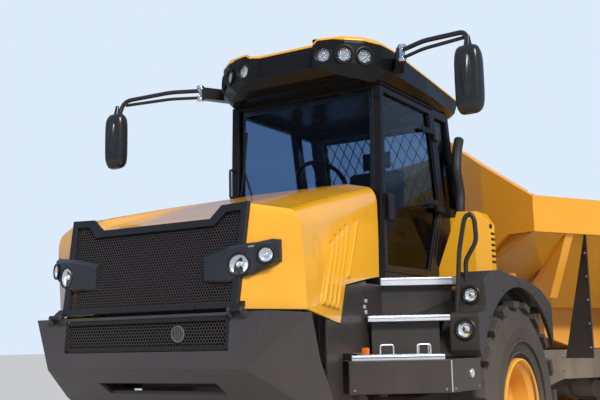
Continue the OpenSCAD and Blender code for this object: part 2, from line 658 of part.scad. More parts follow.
// Fenders: a box over the outer half of each front tyre, with the lamps in its stepped front
fender_r = 835;
arch_in = 745;
fender_y = [1130, 1325];
fender_t = 28;
lamp_face_x = [657, 790];
fender_x = [[-870, 1100], [-840, 1330], [-690, 1490], [-480, 1580], [-181, 1637], [182, 1660], [368, 1680],
            [560, 1665], [640, 1620], [lamp_face_x[0], 1570], [lamp_face_x[0], 1440], [690, 1405],
            [lamp_face_x[1] - 10, 1392], [lamp_face_x[1], 1370], [lamp_face_x[1], 1165], [770, 1125]];
// Lamps: front face x, y, z, lens radius
fender_lamp_table = [[lamp_face_x[0], 1228, 1510, 48], [lamp_face_x[1], 1232, 1292, 56]];
module fenders() {
    color("#3f4245") both() difference() {
        union() {
            side_cut(fender_y[0], fender_y[1]) polygon(fender_x);
            pin_y(0, axle_z, fender_r + 30, arch_in, fender_y[0] + 1);
        }
        pin_y(0, axle_z, fender_r, arch_in - 5, 1400);
        side_cut(fender_y[0] + fender_t, fender_y[1] - fender_t) offset(delta = -fender_t) polygon(fender_x);
        block([-1200, 1200], [600, 1400], [-200, 1125]);
        block([-1200, -720], [arch_in - 5, 1400], [1000, 1700]);
        for (l = fender_lamp_table) pin_x(l[1], l[2], l[3] + 5, l[0] - 20, l[0] + 50);
    }
}
module fender_lamps() {
    color("#d8dce0") both() for (l = fender_lamp_table) pin_x(l[1], l[2], l[3], l[0] - 19.7, l[0] + 2);
}
// Housings behind the cab, their inner faces leaning away from the door
module side_housing() {
    color("#f5a81c") both() intersection() {
        plan_cut(1700, 2185) polygon([
            [-240, cab_y + 0.3], [-246, 927], [-290, 1030], [-385, 1030], [-500, 915], [-640, 775],
            [-640, cab_y + 0.3]]);
        union() {
            cross_cut(-700, -200) polygon([
                [cab_y + 0.3, 1700], [1030, 1700], [1030, 2080], [945, 2176], [793, 2185],
                [cab_y + 0.3, 1770]]);
            block([-640, -500], [cab_y + 0.3, 1030], [1700, 2178]);
        }
    }
}
module exhaust() {
    color("#2c2c30") tube([[-560, 690, 2178.3], [-560, 690, 2250], [-590, 690, 2370], [-545, 680, 2560],
                           [-600, 672, 2720], [-675, 665, 2830]], 40, [0, 1, 0], 60);
}
module handrails() {
    color("#2c2c30") {
        // Loop at the head of the steps, both feet on the fender
        difference() {
            tube([[690, 1140, 1385], [690, 1160, 1590], [680, 1172, 1790], [665, 1212, 2010],
                  [660, 1244, 2035], [655, 1275, 2005], [650, 1280, 1850], [640, 1195, 1730],
                  [635, 1195, 1600]], 15, [1, 0, 0]);
            side_cut(1100, 1300) offset(delta = 0.3) polygon(fender_x);
        }
        tube([[cab_x1 - 20, -598, 2310], [cab_x1 + 40, -598, 2310], [cab_x1 + 40, -598, 2520],
              [cab_x1 - 26, -598, 2520]], 10, [0, 1, 0], 15);
    }
}

// Hitch: pin eye between the fork's jaws and the swivel tube behind it
swivel_x = [-600, -350];
swivel_z = 810;
swivel_r = 120;
module hitch() {
    color("#454547") {
        translate([0, 0, fork_z[0] + 70 + gap]) cylinder(r = 140, h = fork_z[1] - fork_z[0] - 140 - 2 * gap);
        translate([0, 0, fork_z[0] - 20]) cylinder(r = pin_r - 0.1, h = fork_z[1] - fork_z[0] + 40);
        block([-330, -60], [-110, 110], [fork_z[0] + 90, fork_z[1] - 90]);
        pin_x(0, swivel_z, 190, swivel_x[1] + gap, -200);
        pin_x(0, swivel_z, swivel_r, swivel_x[0] - 10, -300);
        pin_x(0, swivel_z, 165, swivel_x[0] - 40, swivel_x[0] - gap);
        // Arms to the rods of the steering cylinders, with a cap over each pin
        both() for (z = [steer_z - 60, steer_z + 35]) plan_cut(z, z + 25) hull() {
            translate(steer_eye) circle(48);
            translate([-160, 100]) square([180, 20], center = true);
        }
        both() for (z = [steer_z - 75, steer_z + 60])
            translate([steer_eye[0], steer_eye[1], z]) cylinder(r = 34, h = 15);
    }
}
// Rear frame
bogie_x = (mid_x + rear_x) / 2;
bogie_z = 700;
rear_rail_y = 380;
frame_top = 1130;
rear_rail_low = 870;
module rear_frame() {
    color("#3b3b3d") difference() {
        union() {
            pin_x(0, swivel_z, 190, swivel_x[0], swivel_x[1]);
            block([-560, -500], [-rear_rail_y, rear_rail_y], [690, 930]);
            both() side_cut(rear_rail_y - 80, rear_rail_y) polygon([
                [-500, 690], [-500, 930], [-900, frame_top], [-hinge_back - 130, frame_top],
                [-hinge_back - 130, rear_rail_low], [-1300, rear_rail_low], [-800, 730]]);
            for (x = [-900, -2000, -3200, -4400])
                block([x - 60, x], [-rear_rail_y, rear_rail_y], [900, 1060]);
            // Ears of the tipping hinge
            both() side_cut(rear_rail_y, rear_rail_y + 60) hull() {
                translate([-hinge_back, hinge_z]) circle(90);
                translate([-hinge_back + 60, frame_top - 80]) square([360, 100], center = true);
            }
            // Tail cross member with four holes for a towing hitch
            block([-hinge_back - 150, -hinge_back - 120], [-rear_rail_y, rear_rail_y],
                  [rear_rail_low, frame_top]);
            // Hangers and shaft of the bogie beams
            both() block([bogie_x - 110, bogie_x + 110], [rear_rail_y - 80, rear_rail_y],
                         [bogie_z - 90, 900]);
            pin_y(bogie_x, bogie_z, 60, -650, 650);
            // Lower pins of the tipping cylinders
            both() block([tip_base[0] - 70, tip_base[0] + 70], [rear_rail_y - 60, rear_rail_y], [770, 900]);
            both() pin_y(tip_base[0], tip_base[1], 40, rear_rail_y - 10, tip_y + 70);
        }
        pin_x(0, swivel_z, swivel_r + 0.1, -800, 0);
        pin_y(-hinge_back, hinge_z, 45, -600, 600);
        for (y = [-80, 80], z = [920, 1040]) pin_x(y, z, 11, -hinge_back - 300, -hinge_back - 50);
    }
}
// Bogie beams: each carries both axle housings and rocks on the frame's shaft
module bogie_beams() {
    color("#3b3b3d") both() difference() {
        side_cut(560, 640) hull() {
            for (x = [mid_x, rear_x]) translate([x, axle_z]) circle(135);
            translate([bogie_x, bogie_z - 30]) circle(140);
        }
        for (x = [mid_x, rear_x]) pin_y(x, axle_z, 105.3, 500, 700);
        pin_y(bogie_x, bogie_z, 60.3, 500, 700);
    }
}
module tail_lamps() {
    color("#b02018") both() block([-hinge_back - 190, -hinge_back - 150], [525, 700], [855, 955]);
    color("#3b3b3d") both() block([-hinge_back - 150, -hinge_back - 138], [rear_rail_y, 720], [875, 930]);
}

// Dump body
// Sections from the tail to the headboard: x, half floor width, floor height
body_table = [
    [-body_back, 800, 1960],
    [-3900, 640, 1490],
    [-1000, 600, 1500],
    [-headboard_back - 60, 580, 1800]
];
function hopper_x(s, t) = s[0] - (s == body_table[0] || s == body_table[3] ? t : 0);
module hopper(t) {
    loft([for (s = body_table) whole([
        [hopper_x(s, t), s[1] - t, s[2] + t],
        [hopper_x(s, t), body_y - 30 - t, body_top - body_rail_h],
        [hopper_x(s, t), body_y - 30 - t, body_top + (t > 0 ? 50 : -30)]
    ])]);
}
lift_eye = [300, headboard_top + 50];
module dump_body() {
    color("#e8941a") difference() {
        union() {
            hopper(0);
            // Side rails
            both() side_cut(body_y - 120, body_y) polygon([
                [-headboard_back - 60, body_top - body_rail_h], [-headboard_back - 60, body_top],
                [-body_back, body_top], [-body_back, body_top - 150],
                [-body_back + 600, body_top - body_rail_h]]);
            // Headboard
            intersection() {
                cross_cut(-headboard_back - 200, -headboard_back) polygon([
                    [-580, 1800], [580, 1800], [972, 2060], [body_y, 2060], [body_y, body_top - 10],
                    [460, headboard_top], [-460, headboard_top], [-body_y, body_top - 10],
                    [-body_y, 2060], [-972, 2060]]);
                // Its outer thirds fold back
                plan_cut(1700, headboard_top + 1) translate([-headboard_back, 0]) polygon([
                    [0, -720], [0, 720], [-60, body_y], [-120, body_y], [-60, 720], [-60, -720],
                    [-120, -body_y], [-60, -body_y]]);
            }
            // Ribs up the hopper's sides behind the headboard
            both() cross_cut(-650, -560)
                polygon([[600, 1490], [1000, 1556], [1210, 2037], [body_y - 20, 2062], [1190, 2062]]);
            // Lifting eye on top of the headboard
            cross_cut(-headboard_back - 45, -headboard_back - 15) hull() {
                translate([lift_eye[0], lift_eye[1]]) circle(60);
                translate([lift_eye[0], headboard_top - 40]) square([200, 40], center = true);
            }
            // Long beams under the floor, with the ears of the tipping hinge at their ends
            both() side_cut(rear_rail_y - 70, rear_rail_y - 10) polygon([
                [-1100, 1510], [-1100, 1250], [-1500, frame_top + gap], [-hinge_back + 200, frame_top + gap],
                [-hinge_back + 100, 1540]]);
            both() side_cut(rear_rail_y + 70, rear_rail_y + 130) hull() {
                translate([-hinge_back, hinge_z]) circle(85);
                translate([-hinge_back + 160, 1790]) square([500, 60], center = true);
            }
            // Ears of the tipping cylinders, with a cap over each pin
            both() for (y = [tip_y - 80, tip_y + 50]) side_cut(y, y + 30) hull() {
                translate(tip_eye) circle(58);
                translate([tip_eye[0], 1560]) square([300, 140], center = true);
            }
            both() for (y = [tip_y - 95, tip_y + 80]) pin_y(tip_eye[0], tip_eye[1], 42, y, y + 15);
            // Hinge pins
            both() pin_y(-hinge_back, hinge_z, 44.9, rear_rail_y - 90, rear_rail_y + 140);
        }
        hopper(body_t);
        pin_x(lift_eye[0], lift_eye[1], 25, -headboard_back - 100, -headboard_back + 50);
    }
}
module mud_plates() {
    color("#252322") both() cross_cut(-780, -768)
        polygon([[935, 1068], [body_y - 6, 1068], [body_y - 10, body_top - body_rail_h - 0.3],
                 [body_y - 26, body_top - body_rail_h - 0.3]]);
}

// Tipping cylinders, from the frame to the body; places in X and Z of the rear module
tip_base = [-1950, axle_z + 85];
tip_eye = [-hinge_back + 868, hinge_z + 386];
tip_y = 640;
tip_d = tip_eye - tip_base;
tip_len = norm(tip_d);
tip_up = atan2(tip_d[1], tip_d[0]);
module tip_frame() {
    both() translate([tip_base[0], tip_y, tip_base[1]]) rotate([0, -tip_up, 0]) children();
}
module tip_barrels() {
    color("#e0e0e2") tip_frame() difference() {
        union() {
            pin_y(0, 0, 70, -45, 45);
            pin_x(0, 0, 78, 50, tip_len - 230);
        }
        pin_y(0, 0, 40.1, -50, 50);
        pin_x(0, 0, 64, 140, tip_len);
    }
}
module tip_rods() {
    color("#c8cacc") tip_frame() {
        pin_x(0, 0, 40, 200, tip_len - 40);
        pin_x(0, 0, 63.9, 180, 260);
        pin_y(tip_len, 0, 58, -45, 45);
    }
}

// Steering cylinders, from the front frame to the hitch; places in X and Y from the pin
steer_z = 920;
steer_base = [1100, 480];
steer_eye = [-150, 430];
function turned(p) = [p[0] * cos(steer_rest) + p[1] * sin(steer_rest),
                      p[1] * cos(steer_rest) - p[0] * sin(steer_rest)];
function steer_run(side) =
    turned([steer_eye[0], side * steer_eye[1]]) - [steer_base[0], side * steer_base[1]];
module steer_frame(side) {
    d = steer_run(side);
    translate([-pivot_back + steer_base[0], side * steer_base[1], steer_z])
        rotate([0, 0, atan2(d[1], d[0])]) children();
}
module steer_barrel(side) {
    color("#d0a030") steer_frame(side) difference() {
        union() {
            translate([0, 0, -40]) cylinder(r = 46, h = 80);
            pin_x(0, 0, 44, 30, 830);
        }
        translate([0, 0, -50]) cylinder(r = 25.1, h = 100);
        pin_x(0, 0, 34, 80, 900);
    }
}
module steer_rod(side) {
    l = norm(steer_run(side));
    color("#c8cacc") steer_frame(side) {
        pin_x(0, 0, 20, l - 800, l - 20);
        pin_x(0, 0, 33.9, l - 815, l - 770);
        translate([l, 0, -28]) cylinder(r = 40, h = 56);
    }
}

front() front_frame();
front() front_axle();
front() engine();
front() bumper();
front() bumper_grille();
front() cab_shell();
front() cab_glass();
front() cab_roof();
front() roof_cap();
front() beacon_stub();
front() roof_lamps();
front() mirrors();
front() cab_door();
front() door_glass();
front() cab_interior();
front() steps();
front() step_box();
front() side_trim();
front() fenders();
front() fender_lamps();
front() side_housing();
front() exhaust();
front() handrails();
front() hood();
front() hood_grille();
front() headlamps();
front() headlamp_lenses();
front() wheel_place(0, 1) tyre();  // tyre_front_left
front() wheel_place(0, -1) tyre();  // tyre_front_right
rear() wheel_place(mid_x, 1) tyre();  // tyre_mid_left
rear() wheel_place(mid_x, -1) tyre();  // tyre_mid_right
rear() wheel_place(rear_x, 1) tyre();  // tyre_rear_left
rear() wheel_place(rear_x, -1) tyre();  // tyre_rear_right
front() wheel_place(0, 1) rim();  // rim_front_left
front() wheel_place(0, -1) rim();  // rim_front_right
rear() wheel_place(mid_x, 1) rim();  // rim_mid_left
rear() wheel_place(mid_x, -1) rim();  // rim_mid_right
rear() wheel_place(rear_x, 1) rim();  // rim_rear_left
rear() wheel_place(rear_x, -1) rim();  // rim_rear_right
rear() hitch();
rear() rear_frame();
rear() bogie_beams();
rear() rear_axles();
rear() tail_lamps();
rear() dump_body();
rear() mud_plates();
rear() tip_barrels();
rear() tip_rods();
front() steer_barrel(1);  // steer_barrel_left
front() steer_rod(1);  // steer_rod_left
front() steer_barrel(-1);  // steer_barrel_right
front() steer_rod(-1);  // steer_rod_right
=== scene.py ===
import math

import bmesh
import bpy
from mathutils import Matrix, Vector


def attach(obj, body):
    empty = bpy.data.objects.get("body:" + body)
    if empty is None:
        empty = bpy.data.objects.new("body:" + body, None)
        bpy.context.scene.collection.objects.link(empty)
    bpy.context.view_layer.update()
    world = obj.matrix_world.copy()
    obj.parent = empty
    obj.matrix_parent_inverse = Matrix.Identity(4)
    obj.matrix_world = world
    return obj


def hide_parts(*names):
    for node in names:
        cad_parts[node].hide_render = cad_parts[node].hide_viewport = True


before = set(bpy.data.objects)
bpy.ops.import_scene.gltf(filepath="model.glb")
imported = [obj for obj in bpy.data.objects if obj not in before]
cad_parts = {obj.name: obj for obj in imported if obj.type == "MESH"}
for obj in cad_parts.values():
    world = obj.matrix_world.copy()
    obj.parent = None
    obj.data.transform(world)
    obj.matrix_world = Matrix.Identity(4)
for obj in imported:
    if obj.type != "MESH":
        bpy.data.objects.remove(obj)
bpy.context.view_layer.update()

# Camera: low in front of the truck's left headlamp, looking slightly up past the grille,
# as the photograph was taken. Field of view from the calibration of that view.
camera_place = Vector((8.3407, 2.3937, 1.2092))
camera_heading = math.radians(90 + 31.742)
camera_climb = math.radians(8.94)
camera_roll = math.radians(-1.15)
focal_pixels = 928.49
image_width = 600
camera_data = bpy.data.cameras.new("photo_camera")
camera_data.sensor_width = 36
camera_data.lens = camera_data.sensor_width * focal_pixels / image_width
camera = bpy.data.objects.new("photo_camera", camera_data)
turn = Matrix.Rotation(camera_heading, 4, "Z") @ Matrix.Rotation(math.pi / 2 + camera_climb, 4, "X")
camera.matrix_world = Matrix.Translation(camera_place) @ turn @ Matrix.Rotation(camera_roll, 4, "Z")
bpy.context.scene.collection.objects.link(camera)
bpy.context.scene.camera = camera
bpy.context.scene.view_settings.view_transform = "Standard"


# Studio: a plain pale floor under a pale sky, a wide soft key light high on the truck's left front
# and weaker ones on the other side and behind. Camera and glass see a pale blue sky, gloss a deeper one.
def node(tree, kind, inputs=None, **settings):
    made = tree.nodes.new("ShaderNode" + kind)
    for name, value in settings.items():
        setattr(made, name, value)
    for key, value in (inputs or {}).items():
        if isinstance(value, bpy.types.NodeSocket):
            tree.links.new(value, made.inputs[key])
        else:
            made.inputs[key].default_value = value
    return made


sky = bpy.data.worlds.new("studio_sky")
bpy.context.scene.world = sky
sky.use_nodes = True
tree = sky.node_tree
sky_seen = node(tree, "Background", {"Color": (0.72, 0.83, 0.96, 1), "Strength": 1.0})
sky_light = node(tree, "Background", {"Color": (0.86, 0.92, 1.0, 1), "Strength": 0.46})
path = node(tree, "LightPath")
shown = node(tree, "Math", {0: path.outputs["Is Camera Ray"], 1: path.outputs["Is Transmission Ray"]},
             operation="MAXIMUM")
sky_mirrored = node(tree, "Background", {"Color": (0.34, 0.50, 0.80, 1), "Strength": 0.62})
lit = node(tree, "MixShader", {0: path.outputs["Is Glossy Ray"], 1: sky_light.outputs[0],
                               2: sky_mirrored.outputs[0]})
sky_mix = node(tree, "MixShader", {0: shown.outputs[0], 1: lit.outputs[0], 2: sky_seen.outputs[0]})
tree.links.new(sky_mix.outputs[0], tree.nodes["World Output"].inputs["Surface"])


def studio_lamp(name, place, spread, power, colour, mirrored=False):
    data = bpy.data.lights.new(name, "SUN")
    data.angle = spread
    data.energy = power
    data.color = colour
    light = bpy.data.objects.new(name, data)
    light.location = place
    light.rotation_euler = (Vector((1.5, 0, 1.6)) - Vector(place)).to_track_quat("-Z", "Y").to_euler()
    light.visible_glossy = mirrored
    bpy.context.scene.collection.objects.link(light)


studio_lamp("key_lamp", (9, 9, 11), math.radians(16), 3.2, (1.0, 0.97, 0.92), mirrored=True)
studio_lamp("fill_lamp", (10, -9, 6), math.radians(40), 0.45, (0.93, 0.96, 1.0))
studio_lamp("back_lamp", (-10, 8, 9), math.radians(40), 0.8, (1.0, 0.98, 0.95))

floor_half = 300
floor_mesh = bpy.data.meshes.new("studio_floor")
floor_mesh.from_pydata([(x * floor_half, y * floor_half, 0) for x, y in ((-1, -1), (1, -1), (1, 1), (-1, 1))],
                       [], [(0, 1, 2, 3)])
floor = bpy.data.objects.new("studio_floor", floor_mesh)
bpy.context.scene.collection.objects.link(floor)
floor_finish = bpy.data.materials.new("pale_floor")
floor_finish.use_nodes = True
floor_shader = floor_finish.node_tree.nodes["Principled BSDF"]
floor_shader.inputs["Base Color"].default_value = (0.50, 0.50, 0.50, 1)
floor_shader.inputs["Roughness"].default_value = 0.85
floor_mesh.materials.append(floor_finish)


# Front frame and axle: two welded box rails with cross members, the fork of the articulation pin,
# and the axle housing in its saddles. Plate steel and castings, sprayed dark grey, dusty from the road.
# Everything of the front module is placed from the front axle, in millimetres.
front_place = Matrix.Translation((2.078457, -1.039264, 0)) @ Matrix.Scale(0.001, 4)
forward, leftward, skyward = Vector((1, 0, 0)), Vector((0, 1, 0)), Vector((0, 0, 1))


# Nodes that several finishes need: a noise, a value's range let out to another, and values joined
def noise(tree, place, scale, detail):
    return node(tree, "TexNoise", {"Vector": place, "Scale": scale, "Detail": detail}).outputs["Fac"]


def stretch(tree, value, low, high, to_low=0.0, to_high=1.0):
    return node(tree, "MapRange", {"Value": value, "From Min": low, "From Max": high,
                                   "To Min": to_low, "To Max": to_high}).outputs[0]


def joined(tree, operation, *values, use_clamp=False):
    return node(tree, "Math", dict(enumerate(values)), operation=operation, use_clamp=use_clamp).outputs[0]


# The surface of anything painted or moulded: its colour varies a little, dust lies on it towards the
# ground and on top, edges wear to the bare material, and a fine grain gives it texture.
def worn_surface():
    group = bpy.data.node_groups.new("worn_surface", "ShaderNodeTree")
    for kind, name, value in (
            ("Color", "Paint", (0.8, 0.5, 0.1, 1)), ("Color", "Bare", (0.3, 0.3, 0.3, 1)),
            ("Color", "Dust", (0.36, 0.29, 0.22, 1)), ("Float", "Dust Amount", 0.1),
            ("Float", "Edge", 0.0), ("Float", "Edge Wear", 0.0), ("Float", "Gloss Roughness", 0.3),
            ("Float", "Grain Scale", 220.0)):
        socket = group.interface.new_socket(name=name, in_out="INPUT", socket_type="NodeSocket" + kind)
        socket.default_value = value
    for kind, name in (("Color", "Colour"), ("Float", "Roughness"), ("Float", "Height")):
        group.interface.new_socket(name=name, in_out="OUTPUT", socket_type="NodeSocket" + kind)
    given = group.nodes.new("NodeGroupInput").outputs
    result = group.nodes.new("NodeGroupOutput").inputs
    place = node(group, "TexCoord").outputs["Object"]
    cloud = noise(group, place, 1.7, 6.0)
    speckle = noise(group, place, 16.0, 4.0)
    long_way = node(group, "Mapping", {"Vector": place, "Scale": (5.0, 5.0, 1.4)}).outputs[0]
    streak = noise(group, long_way, 2.0, 5.0)
    height = node(group, "SeparateXYZ", {0: place}).outputs["Z"]
    low = stretch(group, height, 2.0, 0.3)
    normal = node(group, "NewGeometry").outputs["Normal"]
    facing = node(group, "SeparateXYZ", {0: normal}).outputs["Z"]
    upward = stretch(group, facing, 0.6, 1.0, 0.0, 0.35)
    settled = joined(group, "MAXIMUM", low, upward)
    patchy = joined(group, "ADD", cloud, streak)
    lying = joined(group, "MULTIPLY", settled, patchy)
    dust = joined(group, "MULTIPLY", lying, given["Dust Amount"], use_clamp=True)
    mottle = stretch(group, cloud, 0.3, 0.7, 0.94, 1.05)
    shade = node(group, "VectorMath", {0: given["Paint"], "Scale": mottle}, operation="SCALE").outputs[0]
    chipped = stretch(group, speckle, 0.42, 0.58)
    worn = joined(group, "MULTIPLY", given["Edge"], chipped)
    bare = joined(group, "MULTIPLY", worn, given["Edge Wear"], use_clamp=True)
    painted = node(group, "Mix", {"Factor": bare, "A": shade, "B": given["Bare"]}, data_type="RGBA")
    dusted = node(group, "Mix", {"Factor": dust, "A": painted.outputs["Result"], "B": given["Dust"]},
                  data_type="RGBA")
    dull = joined(group, "MULTIPLY_ADD", dust, 0.5, given["Gloss Roughness"])
    rough = joined(group, "ADD", dull, stretch(group, streak, 0.3, 0.7, -0.04, 0.06))
    grain = noise(group, place, given["Grain Scale"], 3.0)
    for name, socket in (("Colour", dusted.outputs["Result"]), ("Roughness", rough), ("Height", grain)):
        group.links.new(socket, result[name])
    return group


surface_group = worn_surface()


# A finish from that surface; edge is the radius in millimetres to which the sheet's edges are rounded
def coated(name, colour, roughness, dust, wear=0.0, bare=(0.3, 0.3, 0.3), grain=220.0, bump=0.05,
           metallic=0.0, coat=0.0, edge=5, shine=0.5):
    finish = bpy.data.materials.new(name)
    finish.use_nodes = True
    tree = finish.node_tree
    shader = tree.nodes["Principled BSDF"].inputs
    rounding = node(tree, "Bevel", {"Radius": edge * 0.001}, samples=4).outputs[0]
    flat = node(tree, "NewGeometry").outputs["Normal"]
    bend = node(tree, "VectorMath", {0: rounding, 1: flat}, operation="DOT_PRODUCT").outputs["Value"]
    surface = node(tree, "Group", {"Paint": (*colour, 1), "Bare": (*bare, 1), "Dust Amount": dust,
                                   "Edge": stretch(tree, bend, 0.99, 0.88), "Edge Wear": wear,
                                   "Gloss Roughness": roughness, "Grain Scale": grain},
                   node_tree=surface_group).outputs
    relief = node(tree, "Bump", {"Strength": bump, "Distance": 0.004, "Height": surface["Height"],
                                 "Normal": rounding})
    for key, socket in (("Base Color", surface["Colour"]), ("Roughness", surface["Roughness"]),
                        ("Normal", relief.outputs["Normal"])):
        tree.links.new(socket, shader[key])
    for key, value in (("Metallic", metallic), ("Coat Weight", coat), ("Coat Roughness", 0.05),
                       ("Specular IOR Level", shine)):
        shader[key].default_value = value
    return finish


def dress(finish, *nodes):
    for name in nodes:
        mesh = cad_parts[name].data
        mesh.materials.clear()
        mesh.materials.append(finish)
        for face in mesh.polygons:
            face.use_smooth = True
        mesh.set_sharp_from_angle(angle=math.radians(28))


frame_grey = coated("frame_grey", (0.030, 0.030, 0.032), 0.48, 0.75, wear=0.7, bare=(0.16, 0.15, 0.14))
dress(frame_grey, "front_frame", "front_axle")


# Placing a finished shape on the truck: the millimetres of its maker become the model's metres,
# round parts shade smooth across bends under the angle, and it rides with its body.
def settle(name, shape, finish, body="front_module", place=front_place, stands_for=(), smooth=35):
    bmesh.ops.recalc_face_normals(shape, faces=shape.faces)
    mesh = bpy.data.meshes.new(name)
    shape.to_mesh(mesh)
    shape.free()
    mesh.transform(place)
    for face in mesh.polygons:
        face.use_smooth = True
    mesh.set_sharp_from_angle(angle=math.radians(smooth))
    mesh.materials.append(finish)
    piece = bpy.data.objects.new(name, mesh)
    bpy.context.scene.collection.objects.link(piece)
    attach(piece, body)
    if stands_for:
        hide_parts(*stands_for)
    return piece


# The strip of faces between two closed rows of as many corners
def join_rows(shape, low, high):
    for k in range(len(low)):
        shape.faces.new((low[k - 1], low[k], high[k], high[k - 1]))


# Skin over rings of points that all have the same count; ends closed unless the rings form a loop
def add_rings(shape, rings, loop=False):
    rows = [[shape.verts.new(p) for p in ring] for ring in rings]
    for low, high in zip(rows, rows[1:] + (rows[:1] if loop else [])):
        join_rows(shape, low, high)
    if not loop:
        shape.faces.new(rows[0][::-1])
        shape.faces.new(rows[-1])


# Places spaced evenly round a circle, in the plane of two directions; the first at an angle in degrees
def round_places(middle, across, up, radius, count, first=0.0):
    middle, across, up = Vector(middle), Vector(across) * radius, Vector(up) * radius
    angles = [math.radians(first + 360 * k / count) for k in range(count)]
    return [middle + across * math.cos(a) + up * math.sin(a) for a in angles]


# A lathe-turned body: (distance along the axis, radius) pairs about the direction from a point;
# a profile that ends where it begins makes a ring
def add_turned(shape, point, direction, profile, sides=32):
    across, up, aim = Vector(direction).to_track_quat("Z", "Y").to_matrix().col
    ring = profile[0] == profile[-1]
    add_rings(shape, [round_places(Vector(point) + aim * along, across, up, radius, sides)
                      for along, radius in (profile[:-1] if ring else profile)], loop=ring)


# A hexagon bolt with its washer, standing on a surface
def add_bolt(shape, point, direction, size=10):
    add_turned(shape, point, direction, [(-1, size * 1.25), (2, size * 1.25), (3, size * 1.1)], 16)
    add_turned(shape, point, direction, [(2, size), (size * 0.9, size), (size * 1.1, size * 0.8)], 6)


bolts = bmesh.new()
for side in (-1, 1):
    for x in (-560, -300, -40, 200, 440, 640):
        add_bolt(bolts, (x, side * 340, 850), (0, side, 0))
    for x in (-1180, -1080, -980, -880):
        add_bolt(bolts, (x, side * (x / 2 + 715), 1060), skyward)
steel_zinc = coated("steel_zinc", (0.34, 0.33, 0.31), 0.38, 0.5, metallic=0.9, edge=1)
settle("frame_bolts", bolts, steel_zinc)

# Engine: one heavy block on the front frame, the cooler pack close behind the grille and a fan in its
# ring between them; rocker covers with bolts, an air filter can, a charge-air pipe and hoses in band
# clamps. Cast iron, alloy and rubber, seen through the meshes and with the hood tilted.
engine_iron = coated("engine_iron", (0.085, 0.085, 0.09), 0.6, 0.5, wear=0.4, edge=8)
dress(engine_iron, "engine")
cooler_fins = bmesh.new()
cooler_x = 2201
for k in range(60):
    z = 1190 + k * 11
    add_rings(cooler_fins, [[(cooler_x, y, z), (cooler_x + 9, y, z + 2), (cooler_x, y, z + 5)]
                            for y in (-520, 520)])
settle("cooler_fins", cooler_fins, engine_iron)


# A box with its corners in a row of low corner and high corner, edges bevelled
def add_box(shape, low, high, bevel=4.0, turn=None):
    made = bmesh.ops.create_cube(shape, size=1.0)["verts"]
    middle = (Vector(low) + Vector(high)) / 2
    size = Vector(high) - Vector(low)
    for vert in made:
        vert.co = Vector((vert.co.x * size.x, vert.co.y * size.y, vert.co.z * size.z))
    edges = {edge for vert in made for edge in vert.link_edges}
    cut = min(bevel, min(size) * 0.4)
    new = bmesh.ops.bevel(shape, geom=list(edges), offset=cut, segments=2, affect="EDGES", profile=0.5)
    verts = {vert for face in new["faces"] for vert in face.verts}
    verts |= {vert for vert in made if vert.is_valid}
    for vert in verts:
        vert.co = middle + ((turn @ vert.co) if turn else vert.co)


# An open outline with its corners rounded over the given length
def rounded(points, cut, steps=4):
    points = [Vector(p) for p in points]
    result = [points[0]]
    for before, corner, after in zip(points, points[1:], points[2:]):
        a, b = [corner + (end - corner).normalized() * min(cut, (end - corner).length * 0.45)
                for end in (before, after)]
        for s in (step / steps for step in range(steps + 1)):
            result.append(a * (1 - s) ** 2 + corner * 2 * s * (1 - s) + b * s * s)
    return result + [points[-1]]


# A bent rod, round in section, along a route with its corners rounded
def add_rod(shape, route, radius, cut=30, sides=10, steps=4):
    line = rounded(route, cut, steps)
    side = (line[1] - line[0]).orthogonal()
    rings = []
    for n, point in enumerate(line):
        ahead = (line[min(n + 1, len(line) - 1)] - line[max(n - 1, 0)]).normalized()
        side = (side - ahead * side.dot(ahead)).normalized()
        rings.append(round_places(point, side, ahead.cross(side), radius, sides))
    add_rings(shape, rings)


alloy = coated("cast_alloy", (0.42, 0.42, 0.43), 0.45, 0.35, grain=400, bump=0.15, metallic=0.7, edge=4)
rubber_trim = coated("rubber_trim", (0.008, 0.008, 0.008), 0.6, 0.05, grain=500, bump=0.1, edge=3, shine=0.25)
castings, rubbers, clips = bmesh.new(), bmesh.new(), bmesh.new()
for x in range(930, 1401, 94):
    add_box(castings, (x, -120, 1776), (x + 82, 120, 1838), 12)
    for y in (-96, 96):
        add_bolt(clips, (x + 41, y, 1838), skyward, 9)
for x in range(912, 1405, 82):
    for y in (-312, 298):
        add_box(castings, (x, y, 1240), (x + 20, y + 14, 1740), 5)
add_turned(castings, (1900, 0, 1520), forward, [(0, 95), (40, 95), (44, 80), (120, 60), (125, 1)], 32)
fan_middle = Vector((1985, 0, 1520))
for arm in round_places((0, 0, 0), leftward, skyward, 1, 9):
    twist = forward.cross(arm)
    add_rings(rubbers, [[fan_middle + arm * r + twist * w + forward * x for w, x in
                         ((-width, -18), (width, 18), (width, 22), (-width, -14))]
                        for r, width in ((70, 26), (180, 40), (285, 46))])
add_turned(rubbers, (1960, 0, 1520), forward, [(0, 300), (0, 306), (100, 306), (100, 300), (0, 300)], 56)
add_rod(rubbers, [(2190, 330, 1780), (2080, 330, 1810), (1900, 318, 1815), (1700, 290, 1812),
                  (1560, 210, 1812)], 38, 60, 20, 6)
add_rod(rubbers, [(2190, -360, 1770), (2080, -360, 1800), (1940, -330, 1740), (1880, -180, 1640)],
        30, 60, 18, 6)
for foot, way, radius in (((2120, 330, 1800), (-1, 0, 0.27), 38), ((1640, 262, 1812), (-0.87, -0.5, 0), 38),
                          ((2110, -360, 1791), (-1, 0, 0.27), 30)):
    add_turned(clips, foot, way, [(0, radius), (0, radius + 3), (16, radius + 3), (16, radius),
                                  (0, radius)], 24)
filter_end = (1180, -420, 1640)
add_turned(rubbers, filter_end, forward, [(0, 60), (6, 98), (30, 106), (400, 106), (424, 98), (430, 60),
                                          (430, 1)], 36)
add_rod(rubbers, [filter_end, (1080, -400, 1640), (1040, -300, 1700), (1000, -280, 1720)], 42, 50, 18, 6)
